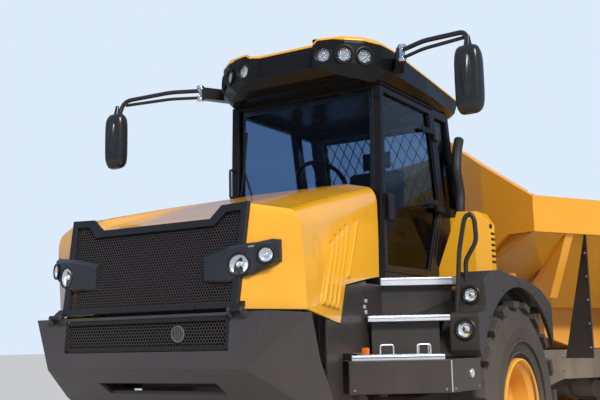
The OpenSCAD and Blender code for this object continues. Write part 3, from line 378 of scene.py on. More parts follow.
for x in (1240, 1540):
    add_box(castings, (x, -440, 1480), (x + 24, -298, 1540), 5)
settle("engine_castings", castings, alloy)
settle("engine_hoses", rubbers, rubber_trim)
settle("engine_clips", clips, steel_zinc)

# Tyres: steel-cord earthmover tyres, moulded with slanted traction lugs; the sidewall has raised rings
# and a row of wear notches. Brown-black rubber, pale with dust between the lugs.
tyre_rubber = coated("tyre_rubber", (0.016, 0.014, 0.013), 0.74, 0.26, wear=0.3, bare=(0.055, 0.048, 0.042),
                     grain=90, bump=0.35, edge=9)
pivot_back = 1250
hitch_turn = math.radians(-28)
rear_place = front_place @ Matrix.Translation((-pivot_back, 0, 0)) @ Matrix.Rotation(hitch_turn, 4, "Z")
wheels = {"front": (front_place, 0), "mid": (rear_place, -2450), "rear": (rear_place, -4050)}
axle_height = 745
tyre_middle = 1072
rim_yellow = coated("rim_yellow", (0.88, 0.40, 0.025), 0.34, 0.20, wear=0.3, bare=(0.2, 0.12, 0.06), edge=4)


# Rims: five-piece steel rims, the dish welded in, painted like the body; a flange ring and a lock
# ring outside, wheel nuts round the hub, the planetary hub's cover with its bolts and oil plug.
def wheel_dress(axle, side):
    place, x = wheels[axle]
    name = axle + ("_left" if side > 0 else "_right")
    dress(tyre_rubber, "tyre_" + name)
    dress(rim_yellow, "rim_" + name)
    centre = Vector((x, side * tyre_middle, axle_height))
    out = Vector((0, side, 0))
    rings = bmesh.new()
    for radius, along in ((392, 231), (470, 252), (560, 254), (622, 240)):
        add_turned(rings, centre, out, [(along - 8, radius - 9), (along + 4, radius - 5),
                                        (along + 4, radius + 5), (along - 8, radius + 9),
                                        (along - 8, radius - 9)], 72)
    for arm in round_places((0, 0, 0), forward, skyward, 1, 40):
        add_turned(rings, centre + arm * 585 + out * 240, arm, [(0, 7), (34, 7), (36, 4)], 6)
    nuts = bmesh.new()
    for level, radius, count, first, size in ((-8, 197, 20, 0, 15), (60, 131, 12, 10, 9)):
        for spot in round_places(centre + out * level, forward, skyward, radius, count, first):
            add_bolt(nuts, spot, out, size)
    hub = bmesh.new()
    add_turned(hub, centre, out, [(86, 62), (96, 60), (98, 54), (91, 50), (91, 0.5)], 40)
    add_turned(hub, centre + Vector((30, side * 90, 20)), out, [(0, 14), (8, 14), (10, 11), (10, 0.5)], 6)
    add_turned(hub, centre, out, [(222, 333), (232, 331), (240, 340), (236, 350), (222, 352), (222, 333)], 72)
    stem = centre + Vector((0, side * 60, -276))
    add_turned(hub, stem, (0, side * 0.9, 0.45), [(0, 9), (40, 9), (42, 12), (66, 12), (68, 8)], 10)
    for piece, shape, finish, slot in (("sidewall_rings_", rings, tyre_rubber, "tyre_rubber"),
                                       ("wheel_nuts_", nuts, steel_zinc, "steel"),
                                       ("hub_cover_", hub, rim_yellow, "body_yellow")):
        settle(piece + name, shape, finish, "wheel_" + name, place)


for axle in wheels:
    for side in (-1, 1):
        wheel_dress(axle, side)

# Bumper: one welded steel shell with folded facets, its underside sloping back, painted brown-grey.
# It carries the lower grille, a punched hexagon sheet in a pressed frame with the horn's round cover.
bumper_grey = coated("bumper_grey", (0.042, 0.038, 0.040), 0.40, 0.10, wear=0.2, bare=(0.20, 0.18, 0.17),
                     bump=0.04, coat=0.08, edge=9, shine=0.35)
dress(bumper_grey, "bumper")


# A sheet's own plane: gives the point so far across it and up it from its corner, and raised off it
def on_sheet(corner, across, up):
    corner, across, up = Vector(corner), Vector(across).normalized(), Vector(up).normalized()
    normal = across.cross(up).normalized()
    return lambda u, v, level: corner + across * u + up * v + normal * level


# A sheet punched with hexagons inside an outline, in the plane of two directions from a corner
def add_punched(shape, corner, across, up, outline, pitch, hole, thick):
    place = on_sheet(corner, across, up)

    def inside(u, v):
        found = False
        for (u1, v1), (u2, v2) in zip(outline, outline[1:] + outline[:1]):
            if (v1 > v) != (v2 > v) and u < (u2 - u1) * (v - v1) / (v2 - v1) + u1:
                found = not found
        return found

    us, vs = [p[0] for p in outline], [p[1] for p in outline]
    rise = pitch * math.sqrt(3) / 2
    corners = [(math.cos(a), math.sin(a)) for a in (math.radians(60 * k + 30) for k in range(6))]
    cell = pitch / math.sqrt(3)
    for row in range(int((max(vs) - min(vs)) / rise) + 1):
        for column in range(int((max(us) - min(us)) / pitch) + 1):
            u = min(us) + column * pitch + (row % 2) * pitch / 2
            v = min(vs) + row * rise
            if inside(u, v):
                rows = [[shape.verts.new(place(u + size * c, v + size * s, level)) for c, s in corners]
                        for size, level in ((cell, 0), (cell, thick), (hole, thick), (hole, 0))]
                for low, high in ((1, 2), (2, 3), (3, 0)):
                    join_rows(shape, rows[low], rows[high])


# A frame between two outlines of as many points, with its inner edge sloping into the opening
def add_frame(shape, corner, across, up, outer, inner, back, front, slope):
    place = on_sheet(corner, across, up)

    def ring(outline, level, grow=0.0):
        points = [Vector(p) for p in outline]
        middle = sum(points, Vector((0, 0))) / len(points)
        grown = [p + (p - middle).normalized() * grow for p in points]
        return [place(p.x, p.y, level) for p in grown]

    add_rings(shape, [ring(outer, back), ring(outer, front - 4), ring(outer, front, -4),
                      ring(inner, front, slope), ring(inner, back + 2), ring(inner, back)], loop=True)


# A closed outline from its left half, which is mirrored to the right
def both_halves(half):
    return half + [(-y, z) for y, z in reversed(half)]


black_plastic = coated("black_plastic", (0.010, 0.010, 0.011), 0.34, 0.05, grain=900, bump=0.12, edge=5,
                       shine=0.3)
mesh_black = coated("mesh_black", (0.040, 0.035, 0.035), 0.36, 0.06, bump=0.03, edge=1, shine=0.3)
lower_outline = both_halves([(584, 1195), (584, 1370)])
lower_mesh = bmesh.new()
add_punched(lower_mesh, (2362, 0, 0), leftward, skyward, lower_outline, 19, 8.6, 3)
settle("lower_grille_mesh", lower_mesh, mesh_black, stands_for=["bumper_grille"], smooth=20)
lower_frame = bmesh.new()
add_frame(lower_frame, (2359, 0, 0), leftward, skyward, lower_outline,
          both_halves([(556, 1222), (556, 1348)]), 1, 16, 6)
for y in (-575, -290, 0, 290, 575):
    for z in (1208, 1360):
        add_turned(lower_frame, (2375, y * 0.985, z), forward, [(-1, 7), (2, 7), (4, 4), (4, 1)], 12)
settle("lower_grille_frame", lower_frame, black_plastic)


# A corrugated near-black sheet of painted shade that stands behind a mesh, along a line of (place across,
# foot, head)
def add_shade_backing(shape, stations, face):
    rings = []
    for n, (y, foot, head) in enumerate(stations):
        x_foot, x_head = face(foot) - (n % 2) * 9, face(head) - (n % 2) * 9
        rings.append([(x_foot, y, foot), (x_head, y, head), (x_head - 3, y, head), (x_foot - 3, y, foot)])
    add_rings(shape, rings)


# Near-black, rough and hardly reflecting: painted shade behind the meshes, so that no light shows through
# them
painted_shade_black = coated("painted_shade_black", (0.004, 0.004, 0.004), 0.7, 0.0, edge=1, shine=0.1)
lower_shade_backing = bmesh.new()
add_shade_backing(lower_shade_backing, [(y, 1192, 1374) for y in range(-588, 589, 14)], lambda z: 2340)
settle("lower_grille_shade_backing", lower_shade_backing, painted_shade_black, smooth=10)
horn = bmesh.new()
horn_middle = Vector((2366, 243, 1285))
add_turned(horn, horn_middle, forward, [(0, 45), (6, 45), (8, 42), (8, 38), (4, 36), (0, 36), (0, 45)], 40)
for y in (-24, -12, 0, 12, 24):
    reach = math.sqrt(37 ** 2 - y ** 2)
    add_rod(horn, [horn_middle + Vector((3, y, -reach)), horn_middle + Vector((3, y, reach))], 3, sides=8)
horn_grey = coated("horn_grey", (0.20, 0.20, 0.21), 0.30, 0.05, metallic=0.6, edge=1)
settle("horn_cover", horn, horn_grey)

# Hood: one moulded shell that tilts forward, glossy warm yellow. Flat sides with a high crease, a
# facet at each front corner, pleated louvres by the cooler and a lower edge stepped over the trim.
hood_yellow = coated("hood_yellow", (0.88, 0.42, 0.018), 0.20, 0.04, bump=0.02, coat=0.7, edge=8)
grille_x = 2342
nose_foot = 1405
lean = 92 / 563


# Where the hood's leaning front is at a height
def face_x(z):
    return grille_x - (z - nose_foot) * lean


hood_sections = [
    [(face_x(z), y, z) for y, z in ((627, nose_foot), (633, 1650), (638, 1860), (642, 1972), (470, 1966),
                                    (400, 1898))],
    [(2111, 897, 1398), (2133, 897, 1660), (2150, 893, 1850), (2156, 855, 1925), (2161, 520, 1992),
     (2161, 430, 1935)],
    [(1850, y, z) for y, z in ((853, 1365), (860, 1680), (850, 1915), (805, 2000), (500, 2065), (420, 2020))],
    [(1540, y, z) for y, z in ((795, 1330), (800, 1700), (790, 1990), (745, 2075), (475, 2135), (408, 2110))],
    [(790, 640, 1330), (785, 650, 1900), (775, 642, 2180), (768, 600, 2255), (760, 420, 2297),
     (760, 380, 2302)]]


# A point of the hood's skin: k sections back from the grille, i corners up from the lower edge. The
# facet at the grille is straight, the rest of the way back is one smooth curve through the sections.
def hood_corner(k, i):
    points = [Vector(section[i]) for section in hood_sections]
    if k <= 1:
        return points[0].lerp(points[1], k)
    n = min(int(k), 3)
    t = k - n
    p0 = points[n - 1] if n > 1 else points[1] * 2 - points[2]
    p1, p2 = points[n], points[n + 1]
    p3 = points[n + 2] if n < 3 else points[4] * 2 - points[3]
    return 0.5 * (2 * p1 + t * (p2 - p0) + t * t * (2 * p0 - 5 * p1 + 4 * p2 - p3)
                  + t ** 3 * (3 * p1 - p0 - 3 * p2 + p3))


def mirrored(point):
    return Vector((point[0], -point[1], point[2]))


# A solid cut from a shape by the solid of another one
def carve(shape, cutter):
    meshes = []
    for part, name in ((shape, "carved"), (cutter, "cutter")):
        bmesh.ops.recalc_face_normals(part, faces=part.faces)
        mesh = bpy.data.meshes.new(name)
        part.to_mesh(mesh)
        part.free()
        meshes.append(bpy.data.objects.new(name, mesh))
        bpy.context.scene.collection.objects.link(meshes[-1])
    cut = meshes[0].modifiers.new("cut", "BOOLEAN")
    cut.object = meshes[1]
    cut.operation = "DIFFERENCE"
    cut.solver = "EXACT"
    cut.use_self = True
    bpy.context.view_layer.update()
    result = bmesh.new()
    evaluated = meshes[0].evaluated_get(bpy.context.evaluated_depsgraph_get())
    result.from_mesh(evaluated.to_mesh())
    evaluated.to_mesh_clear()
    for made in meshes:
        data = made.data
        bpy.data.objects.remove(made)
        bpy.data.meshes.remove(data)
    return result


# An outline seen from the side, X and Z, made solid between two places across the truck
def add_side_cut(shape, outline, y0, y1):
    add_rings(shape, [[(x, y0, z) for x, z in outline], [(x, y1, z) for x, z in outline]])


hood_stations = [0, 0.5, 0.9, 0.97, 1.0, 1.04, 1.12, 1.3, 1.5, 1.75, 2, 2.25, 2.5, 2.75, 3, 3.25, 3.5,
                 3.75, 4]
hood_wall = 24
hood = bmesh.new()
skins = []
for inset in (0, hood_wall):
    rings = []
    for k in hood_stations:
        half = [hood_corner(k, i) for i in range(6)]
        line = rounded(half + [mirrored(half[5])], 42)[:-1]
        for p in line:
            p.y -= inset if p.z < half[3].z - 30 else inset * 0.6
            p.z -= inset if p.z > half[2].z else 0
        rings.append(line + [mirrored(p) for p in reversed(line)])
    skins.append([[hood.verts.new(p) for p in ring] for ring in rings])
outer, inner = skins
span = len(outer[0])
for out_low, out_high, in_low, in_high in zip(outer, outer[1:], inner, inner[1:]):
    for n in range(span - 1):
        hood.faces.new((out_low[n], out_low[n + 1], out_high[n + 1], out_high[n]))
        hood.faces.new((in_low[n], in_high[n], in_high[n + 1], in_low[n + 1]))
    for n in (0, span - 1):
        hood.faces.new((out_low[n], out_high[n], in_high[n], in_low[n]))
for end in (0, -1):
    for n in range(span - 1):
        hood.faces.new((outer[end][n], inner[end][n], inner[end][n + 1], outer[end][n + 1]))

pleats = [(1900, 1735, 1430, 1790), (1830, 1640, 1425, 1835), (1760, 1545, 1420, 1875),
          (1690, 1450, 1415, 1915), (1480, 1260, 1600, 1970)]
openings = bmesh.new()
add_side_cut(openings, [(1602, 1200), (1602, 1345), (1506, 1558), (1052, 1620), (700, 1660), (700, 1200)],
             -1100, 1100)
hood = carve(hood, openings)
openings = bmesh.new()
slot_width = 26
for side in (-1, 1):
    for foot, head, low, high in pleats:
        slot = [(foot, low), (foot + slot_width, low), (head + slot_width, high), (head, high)]
        add_side_cut(openings, slot, side * 600, side * 950)
hood = carve(hood, openings)
settle("hood_shell", hood, hood_yellow, "hood", stands_for=["hood"], smooth=24)


# Where the hood's flat side is at a place in X and Z
def hood_side(x, z):
    k = 1.0
    while k < 4 and hood_corner(k, 1).x > x:
        k += 0.02
    low, high = hood_corner(k, 1), hood_corner(k, 2)
    return low.y + (high.y - low.y) * max(0.0, min(1.0, (z - low.z) / (high.z - low.z)))


louvres = bmesh.new()
for side in (-1, 1):
    for foot, head, low, high in pleats:
        rings = []
        for share in (0.0, 0.06, 0.3, 0.6, 0.94, 1.0):
            x, z = foot + (head - foot) * share, low + (high - low) * share
            y = hood_side(x, z)
            lift = 0 if share in (0.0, 1.0) else 13
            rings.append([(x + back, side * (y + out), z) for back, out in (
                (-46, -6), (-44, 1), (-6, lift), (2, lift), (8, lift * 0.5 - 10), (8, -16))])
        add_rings(louvres, rings)
settle("hood_louvres", louvres, hood_yellow, "hood", smooth=24)

# Grille: a pressed frame that leans back with the hood's nose and a fine hexagon mesh behind it, all
# black; it tilts with the hood on two knuckles whose pins lie in the bumper's ears.
up_the_face = Vector((-lean, 0, 1)).normalized()
face_corner = (grille_x, 0, nose_foot)
grille_edge = both_halves([(627, 2), (642, 575), (470, 568), (400, 498)])
grille_hole = both_halves([(575, 36), (590, 528), (494, 524), (424, 456)])
grille_frame = bmesh.new()
add_frame(grille_frame, face_corner, leftward, up_the_face, grille_edge, grille_hole, 0.3, 24, 9)
for side in (-1, 1):
    add_turned(grille_frame, (2395, side * 590, 1398), (0, side, 0), [(0, 9), (101, 9)], 24)
    add_rings(grille_frame, [[(2348, y, 1414), (2346, y, 1445), (2401, y, 1404), (2393, y, 1390)]
                             for y in (side * 614, side * 668)])
frame_black = coated("frame_black", (0.014, 0.014, 0.016), 0.30, 0.04, grain=900, bump=0.08, edge=5,
                     shine=0.35)
settle("grille_frame", grille_frame, frame_black, "hood", stands_for=["hood_grille"],
       smooth=24)
grille_mesh = bmesh.new()
add_punched(grille_mesh, Vector(face_corner) + Vector((1, 0, lean)) * 6, leftward, up_the_face,
            [(x * 1.012, z * 1.02 - 6) for x, z in grille_hole], 18, 8.0, 3)
settle("grille_mesh", grille_mesh, mesh_black, "hood", smooth=20)
# The same near-black backing behind the upper mesh: painted shade in the grille's opening
grille_shade_backing = bmesh.new()
add_shade_backing(grille_shade_backing, [(y, 1432, 1867 if abs(y) < 430 else 1935) for y in range(-588, 589, 14)],
           lambda z: face_x(z) - 38)
settle("grille_shade_backing", grille_shade_backing, painted_shade_black, "hood", smooth=10)

# Headlamps: a moulded glossy housing at each side of the grille that wraps round the corner, with a
# main beam and a smaller outer lamp; each has a chromed bowl, a projector, a clear cover and a bezel.
grey_gloss = coated("grey_gloss", (0.024, 0.025, 0.029), 0.20, 0.03, bump=0.02, coat=0.15, edge=12, shine=0.4)
dress(grey_gloss, "headlamps")
chrome_bowl = coated("chrome_bowl", (0.82, 0.83, 0.85), 0.12, 0.0, metallic=1.0, bump=0.01, edge=1)


def clear_pane(name, colour, roughness, clearness, ior):
    finish = bpy.data.materials.new(name)
    finish.use_nodes = True
    tree = finish.node_tree
    shader = tree.nodes["Principled BSDF"].inputs
    film = noise(tree, node(tree, "TexCoord").outputs["Object"], 3.0, 5.0)
    tree.links.new(stretch(tree, film, 0.35, 0.75, roughness, roughness + 0.04), shader["Roughness"])
    for key, value in (("Base Color", (*colour, 1)), ("Transmission Weight", clearness), ("IOR", ior)):
        shader[key].default_value = value
    return finish


lamp_glass = clear_pane("lamp_glass", (0.94, 0.96, 0.98), 0.02, 1.0, 1.15)


# One round lamp: bowl, projector and bezel in the given shapes, its cover glass in the third;
# r is the radius of the bowl and p that of the projector
def add_lamp(bowls, bezels, covers, point, direction, r, projector=0.34):
    p = r * projector
    add_turned(bowls, point, direction, [(0.6, 0.5), (0.6, r), (15, r), (15, r - 2), (9, r * 0.86),
                                         (5, r * 0.66), (3, r * 0.45), (2.5, 0.5)], 40)
    add_turned(bowls, point, direction, [(2, p), (8, p), (11, p * 0.8), (13, p * 0.4), (13.5, 0.5)], 24)
    add_turned(covers, point, direction, [(15.5, 0.5), (15.5, r - 1), (17, r - 1), (20, r * 0.8),
                                          (22, r * 0.5), (23, 0.5)], 40)
    add_turned(bezels, point, direction, [(6, r + 3.6), (19, r + 9), (23, r + 7), (24, r + 2),
                                          (20, r - 3), (14, r - 1), (6, r + 3.6)], 48)


# The way a lamp looks that is turned outward by some degrees
def lamp_aim(side, outward):
    return Vector((math.cos(math.radians(outward)), side * math.sin(math.radians(outward)), 0))


# The shapes of a group of round lamps, which stand for the plain lenses
def settle_lamps(name, lenses, bowls, bezels, covers, body="front_module"):
    settle(name + "_bowls", bowls, chrome_bowl, body)
    settle(name + "_bezels", bezels, black_plastic, body)
    settle(name + "_covers", covers, lamp_glass, body, stands_for=[lenses])


bowls, bezels, covers = bmesh.new(), bmesh.new(), bmesh.new()
for side in (-1, 1):
    for x, y, z, outward, radius in ((2319, 618, 1634, 12, 57), (2272, 752, 1680, 26, 40)):
        add_lamp(bowls, bezels, covers, (x, side * y, z), lamp_aim(side, outward), radius)
settle_lamps("headlamp", "headlamp_lenses", bowls, bezels, covers, "hood")

# Cab: a welded shell of folded sheet over tube pillars, black two-pack paint inside and out, bolted to
# the frame on rubber mounts. Windscreen and panes are glued in behind a printed black border.
cab_black = coated("cab_black", (0.009, 0.009, 0.010), 0.24, 0.03, wear=0.2, bare=(0.06, 0.06, 0.065),
                   bump=0.03, coat=0.05, edge=8, shine=0.2)
dress(cab_black, "cab_shell")
tinted_glass = clear_pane("tinted_glass", (0.26, 0.36, 0.50), 0.015, 1.0, 1.12)
dress(tinted_glass, "cab_glass")


# Where the leaning windscreen and the rear window are at a height
def screen_x(z):
    return 690 - 42 * (z - 1600) / 1410


def back_x(z):
    return -680 + 143 * (z - 2244) / 766


border_black = coated("border_black", (0.006, 0.006, 0.007), 0.30, 0.0, edge=1)
borders = bmesh.new()
for face, low, high, half, inset in ((screen_x, 2252, 2978, 566, -34), (back_x, 2292, 2948, 518, 34)):
    foot = Vector((face(low) + inset, 0, low))
    rise = Vector((face(high) - face(low), 0, high - low)).normalized()
    length = (high - low) / rise.z
    add_frame(borders, foot, leftward, rise, both_halves([(half, 0), (half, length)]),
              both_halves([(half - 38, 34), (half - 38, length - 44)]), 0, 5, 2)
settle("screen_borders", borders, border_black)

# Seals and trim of the cab: rubber strips round the windscreen, the gutter above the door, a foot seal
# under the windscreen and the pillar's cover strips with their screws. Moulded rubber and plastic.
seals = bmesh.new()
for side in (-1, 1):
    add_rod(seals, [(screen_x(2256) - 2, side * 572, 2256), (screen_x(2976) - 2, side * 572, 2976)], 7)
    for z in range(1760, 2240, 110):
        add_turned(seals, (screen_x(z) - 1, side * 560, z), forward, [(-2, 9), (3, 8), (4, 4), (4, 1)], 12)
add_rod(seals, [(screen_x(2250) - 4, -572, 2252), (screen_x(2250) - 4, 572, 2252)], 8)
add_rod(seals, [(-235, 636, 3004), (650, 636, 3004)], 9)
settle("cab_seals", seals, rubber_trim)

# Wiper: a steel arm on its spindle below the windscreen, with a long rubber blade.
# It is parked upright at the right-hand side of the pane.
wiper = bmesh.new()
spindle = Vector((screen_x(2225) + 8, -400, 2225))
tip = Vector((screen_x(2520) + 20, -506, 2520))
add_turned(wiper, spindle - Vector((14, 0, 0)), forward, [(0, 24), (20, 22), (30, 12), (30, 1)], 16)
add_rod(wiper, [spindle + Vector((12, 0, 0)), tip], 8)
add_rod(wiper, [(screen_x(2280) + 12, -540, 2280), (screen_x(2520) + 14, -508, 2520),
                (screen_x(2800) + 12, -486, 2800)], 8, 20)
settle("wiper", wiper, rubber_trim)

# Guard in the rear window: round steel bars welded in diamonds inside a frame of thicker bar,
# painted grey, bolted inside the cab and seen through the panes
guard = bmesh.new()
guard_low, guard_high, guard_half = 2300, 2940, 505
bar_slope, bar_pitch = 0.55, 88


def guard_point(y, z):
    return Vector((back_x(z) + 62, y, z))


for way in (-1, 1):
    for k in range(1, 16):
        start = bar_pitch * k - guard_half - bar_slope * (guard_high - guard_low)
        foot = guard_low + max(0, -guard_half - start) / bar_slope
        head = min(guard_high, guard_low + (guard_half - start) / bar_slope)
        add_rod(guard, [guard_point(way * (start + bar_slope * (z - guard_low)), z) for z in (foot, head)],
                4, sides=6)
corners = [guard_point(y, z) for y, z in ((-guard_half, guard_low), (guard_half, guard_low),
                                          (guard_half, guard_high), (-guard_half, guard_high))]
for a, b in zip(corners, corners[1:] + corners[:1]):
    add_rod(guard, [a, b], 8)
guard_grey = coated("guard_grey", (0.18, 0.18, 0.19), 0.40, 0.05, edge=1)
settle("window_guard", guard, guard_grey)

# Driver's place: a sprung seat with sewn foam cushions, an armrest with its lever, a dash with a blank
# screen, and the wheel on a leaning column. Black fabric, moulded plastic and rubber flooring.
seat_fabric = coated("seat_fabric", (0.030, 0.030, 0.034), 0.88, 0.0, grain=1400, bump=0.5, edge=2)


# A stuffed cushion: a crowned cage over a box, its sides drawn in between the corners, made smooth;
# an upright one is crowned to the front
def cushion(name, low, high, crown, upright=False):
    cage = bmesh.new()
    low, size = Vector(low), Vector(high) - Vector(low)
    bmesh.ops.create_grid(cage, x_segments=6, y_segments=6, size=1.0)
    top = list(cage.verts)
    made = bmesh.ops.extrude_face_region(cage, geom=list(cage.faces))["geom"]
    bottom = [v for v in made if isinstance(v, bmesh.types.BMVert)]
    for verts, level in ((top, 1.0), (bottom, 0.0)):
        for vert in verts:
            u, v = vert.co.x, vert.co.y
            bulge = (1 - u ** 4) * (1 - v ** 4)
            seam = 0.10 if abs(abs(u) - 1 / 3) < 0.05 and abs(v) < 0.9 else 0.0
            w = 0.5 + (level - 0.5) * (0.62 + (crown if level else 0.3) * bulge - (seam if level else 0))
            pinch = 0.035 * (1 - abs(u) ** 2) if abs(v) > 0.95 else 0.0
            share = Vector((0.5 + u * 0.5, 0.5 + v * (0.5 - pinch), w))
            vert.co = low + size * (share.zyx if upright else share)
    piece = settle(name, cage, seat_fabric, smooth=180)
    smooth = piece.modifiers.new("stuffing", "SUBSURF")
    smooth.levels = smooth.render_levels = 2


cushion("seat_cushion", (-470, -265, 1965), (60, 265, 2100), 0.40)
cushion("seat_back", (-560, -255, 2095), (-430, 255, 2620), 0.40, upright=True)
cushion("head_rest", (-550, -130, 2640), (-460, 130, 2780), 0.35, upright=True)
fittings = bmesh.new()
add_box(fittings, (-430, -230, 1930), (30, 230, 1970), 12)
add_box(fittings, (-380, -200, 1655), (0, 200, 1700), 8)
for k in range(5):
    draw_in, z = 4 * k, 1700 + 46 * k
    add_box(fittings, (draw_in - 350, draw_in - 180, z), (-30 - draw_in, 180 - draw_in, z + 42), 16)
for side in (-1, 1):
    add_rod(fittings, [(-500, side * 60, 2600), (-505, side * 60, 2690)], 8)
    add_box(fittings, (-420, side * 300 - 32, 2190), (-60, side * 300 + 32, 2240), 14)
    add_rod(fittings, [(-430, side * 300, 2215), (-470, side * 290, 2100), (-420, side * 240, 1960)], 16)
add_rod(fittings, [(-90, -300, 2235), (-84, -300, 2330)], 11)
add_turned(fittings, (-84, -300, 2325), (0.1, 0, 1), [(0, 12), (10, 24), (45, 27), (66, 18), (70, 1)], 16)
add_box(fittings, (432, -320, 1655), (600, 320, 2110), 30)
add_box(fittings, (400, -330, 2090), (610, 330, 2160), 24)
add_box(fittings, (448, 120, 2165), (474, 330, 2300), 8, Matrix.Rotation(math.radians(-12), 3, "Y"))
add_rod(fittings, [(520, 0, 2120), (500, 0, 2230), (404, 0, 2398)], 30, 20, 14)
wheel_middle = Vector((400, 0, 2400))
wheel_way = Vector((-math.sqrt(0.5), 0, math.sqrt(0.5)))
grip = [(p.x, p.y) for p in round_places((0, 190, 0), forward, leftward, 16, 10)]
add_turned(fittings, wheel_middle, wheel_way, grip + grip[:1], 48)
add_turned(fittings, wheel_middle, wheel_way, [(-22, 44), (6, 52), (14, 40), (16, 1)], 24)
flat = wheel_way.cross(leftward).normalized()
for a in (0, 130, 230):
    arm = leftward * math.sin(math.radians(a)) - flat * math.cos(math.radians(a))
    add_rod(fittings, [wheel_middle + arm * 30, wheel_middle + arm * 185], 11)
add_box(fittings, (-560, -560, 1651), (600, 560, 1660), 3)
settle("driver_fittings", fittings, black_plastic, stands_for=["cab_interior"])

# Door: one pane glued to a slim black frame that swings on two outside hinges; a moulded black handle
# with a pull bar near its front edge, a lock barrel and a rubber seal.
dress(cab_black, "cab_door")
dress(tinted_glass, "door_glass")
door_trim = bmesh.new()
add_box(door_trim, (556, 626, 2070), (622, 652, 2215), 14)
add_rod(door_trim, [(636, 648, 2225), (640, 664, 2205), (640, 664, 2075), (636, 648, 2055)], 9, 12)
add_turned(door_trim, (590, 650, 2098), leftward, [(0, 14), (6, 13), (7, 9), (7, 1)], 16)
outline = [(652, 1703), (637, 2992), (-208, 2992), (-350, 2250), (-132, 1733), (-106, 1703)]
inner = []
for (x1, z1), (x2, z2), (x3, z3) in zip(outline[-1:] + outline[:-1], outline, outline[1:] + outline[:1]):
    a, b = (Vector((x1 - x2, z1 - z2)).normalized(), Vector((x3 - x2, z3 - z2)).normalized())
    inner.append(Vector((x2, z2)) + (a + b).normalized() * 46)
for a, b in zip(inner, inner[1:] + inner[:1]):
    add_rod(door_trim, [(a.x, 612, a.y), (b.x, 612, b.y)], 6, sides=8)
settle("door_trim", door_trim, rubber_trim, "door")

# Roof: a deep moulded housing, glossy black, with a yellow skin on top. Six work lamps sit in round
# pockets with screwed bezels, in two housings with a bay between them.
dress(cab_black, "cab_roof")
dress(hood_yellow, "roof_cap", "beacon_stub")
bowls, leds, bezels, covers = bmesh.new(), bmesh.new(), bmesh.new(), bmesh.new()
for side in (-1, 1):
    for x, y, z, outward in ((890, 331, 3190, 12), (858, 471, 3179, 30), (778, 578, 3165, 45)):
        aim = lamp_aim(side, outward)
        point = Vector((x, side * y, z))
        across = skyward.cross(aim)
        add_turned(bowls, point, aim, [(0.6, 0.5), (0.6, 50), (14, 50), (14, 47), (8, 44), (4, 40),
                                       (4, 0.5)], 36)
        for radius, count in ((0, 1), (17, 6), (33, 12)):
            for spot in round_places(point, across, skyward, radius, count):
                add_turned(leds, spot, aim, [(4, 6), (9, 5), (12, 2.5), (12, 0.5)], 8)
        add_turned(covers, point, aim, [(15, 0.5), (15, 49), (17, 49), (20, 38), (22, 20), (22.5, 0.5)], 36)
        add_turned(bezels, point, aim, [(2, 53), (26, 58), (32, 67), (37, 67), (39, 60), (28, 47), (15, 50),
                                        (2, 53)], 40)
        for spot in round_places(point + aim * 32, across, skyward, 60, 4, 45):
            add_turned(bezels, spot, aim, [(0, 4.5), (4, 4.5), (5, 3), (5, 0.5)], 6)
reflector_dark = coated("reflector_dark", (0.42, 0.43, 0.44), 0.22, 0.0, metallic=0.8, edge=1)
led_white = coated("led_white", (0.88, 0.89, 0.86), 0.30, 0.0, edge=1)
settle("roof_lamp_bowls", bowls, reflector_dark)
settle("roof_lamp_leds", leds, led_white)
settle("roof_lamp_bezels", bezels, black_plastic)
settle("roof_lamp_covers", covers, lamp_glass, stands_for=["roof_lamps"])

# Mirrors: a bracket bolted to the roof's side carries two bent steel tubes and a moulded head with the
# glass on its rear face; a bright clamp holds the tubes to the bracket.
arm_black = coated("arm_black", (0.020, 0.020, 0.022), 0.26, 0.05, wear=0.3, coat=0.1, bump=0.02, edge=3,
                   shine=0.35)
circle = round_places((0, 0, 0), forward, leftward, 1, 32)
head_outline = [[math.copysign(abs(w) ** 0.45, w) for w in (p.x, p.y)] for p in circle]
boss_outline = round_places((0, 0, 0), forward, leftward, 1, 20)
head_y, arm_x = 1440, 1050
heads, clamps, glasses = bmesh.new(), bmesh.new(), bmesh.new()
for side in (-1, 1):
    bracket = [(470, 700.5), (558, 700.5), (770, 825), (765, 860), (715, 862), (470, 735)]
    add_rings(heads, [[(x, side * y, z) for x, y in bracket] for z in (3100, 3104, 3186, 3190)])
    add_rod(heads, [(742, side * 845, 3170), (860, side * 1060, 3165), (1000, side * 1414, 3120),
                    (arm_x, side * head_y, 2950)], 16, 60, 12, 6)
    add_rod(heads, [(742, side * 845, 3115), (860, side * 1060, 3112), (995, side * 1400, 3085)],
            12, 60, 12, 6)
    for z in (2740, 2900):
        add_box(heads, (1012, side * head_y - 26, z), (1060, side * head_y + 26, z + 40), 8)
    rings = []
    for x, grow, bottom, top in ((1014, -10, 2602, 2988), (1022, 0, 2590, 3000), (1052, 6, 2576, 3012),
                                 (1080, 0, 2580, 3006), (1100, -16, 2604, 2984), (1108, -40, 2650, 2940)):
        near, far = 1356 - grow, 1524 + grow * 0.5
        rings.append([(x, side * (near + far + u * (far - near)) / 2, (bottom + top + v * (top - bottom)) / 2)
                      for u, v in head_outline])
    add_rings(heads, rings)
    boss = []
    for z, half, reach in ((3075, 15, 1058), (3010, 26, 1078), (2930, 40, 1118), (2850, 46, 1134),
                           (2770, 42, 1136), (2715, 30, 1128), (2685, 12, 1112)):
        boss.append([(arm_x + (reach - arm_x) * p.x, side * (head_y + half * p.y), z) for p in boss_outline])
    add_rings(heads, boss)
    add_box(glasses, (1010, side * head_y - 66, 2622), (1015, side * head_y + 66, 2968), 6)
    for z in (3086, 3180):
        add_turned(clamps, (752, side * 858, z), skyward,
                   [(0, 10), (2, 27), (20, 30), (26, 27), (28, 10)], 24)
    add_box(clamps, (726, side * 852 - 8, 3096), (772, side * 852 + 20, 3196), 6)
    for z in (3120, 3170):
        add_bolt(clamps, (772, side * 860, z), forward, 8)
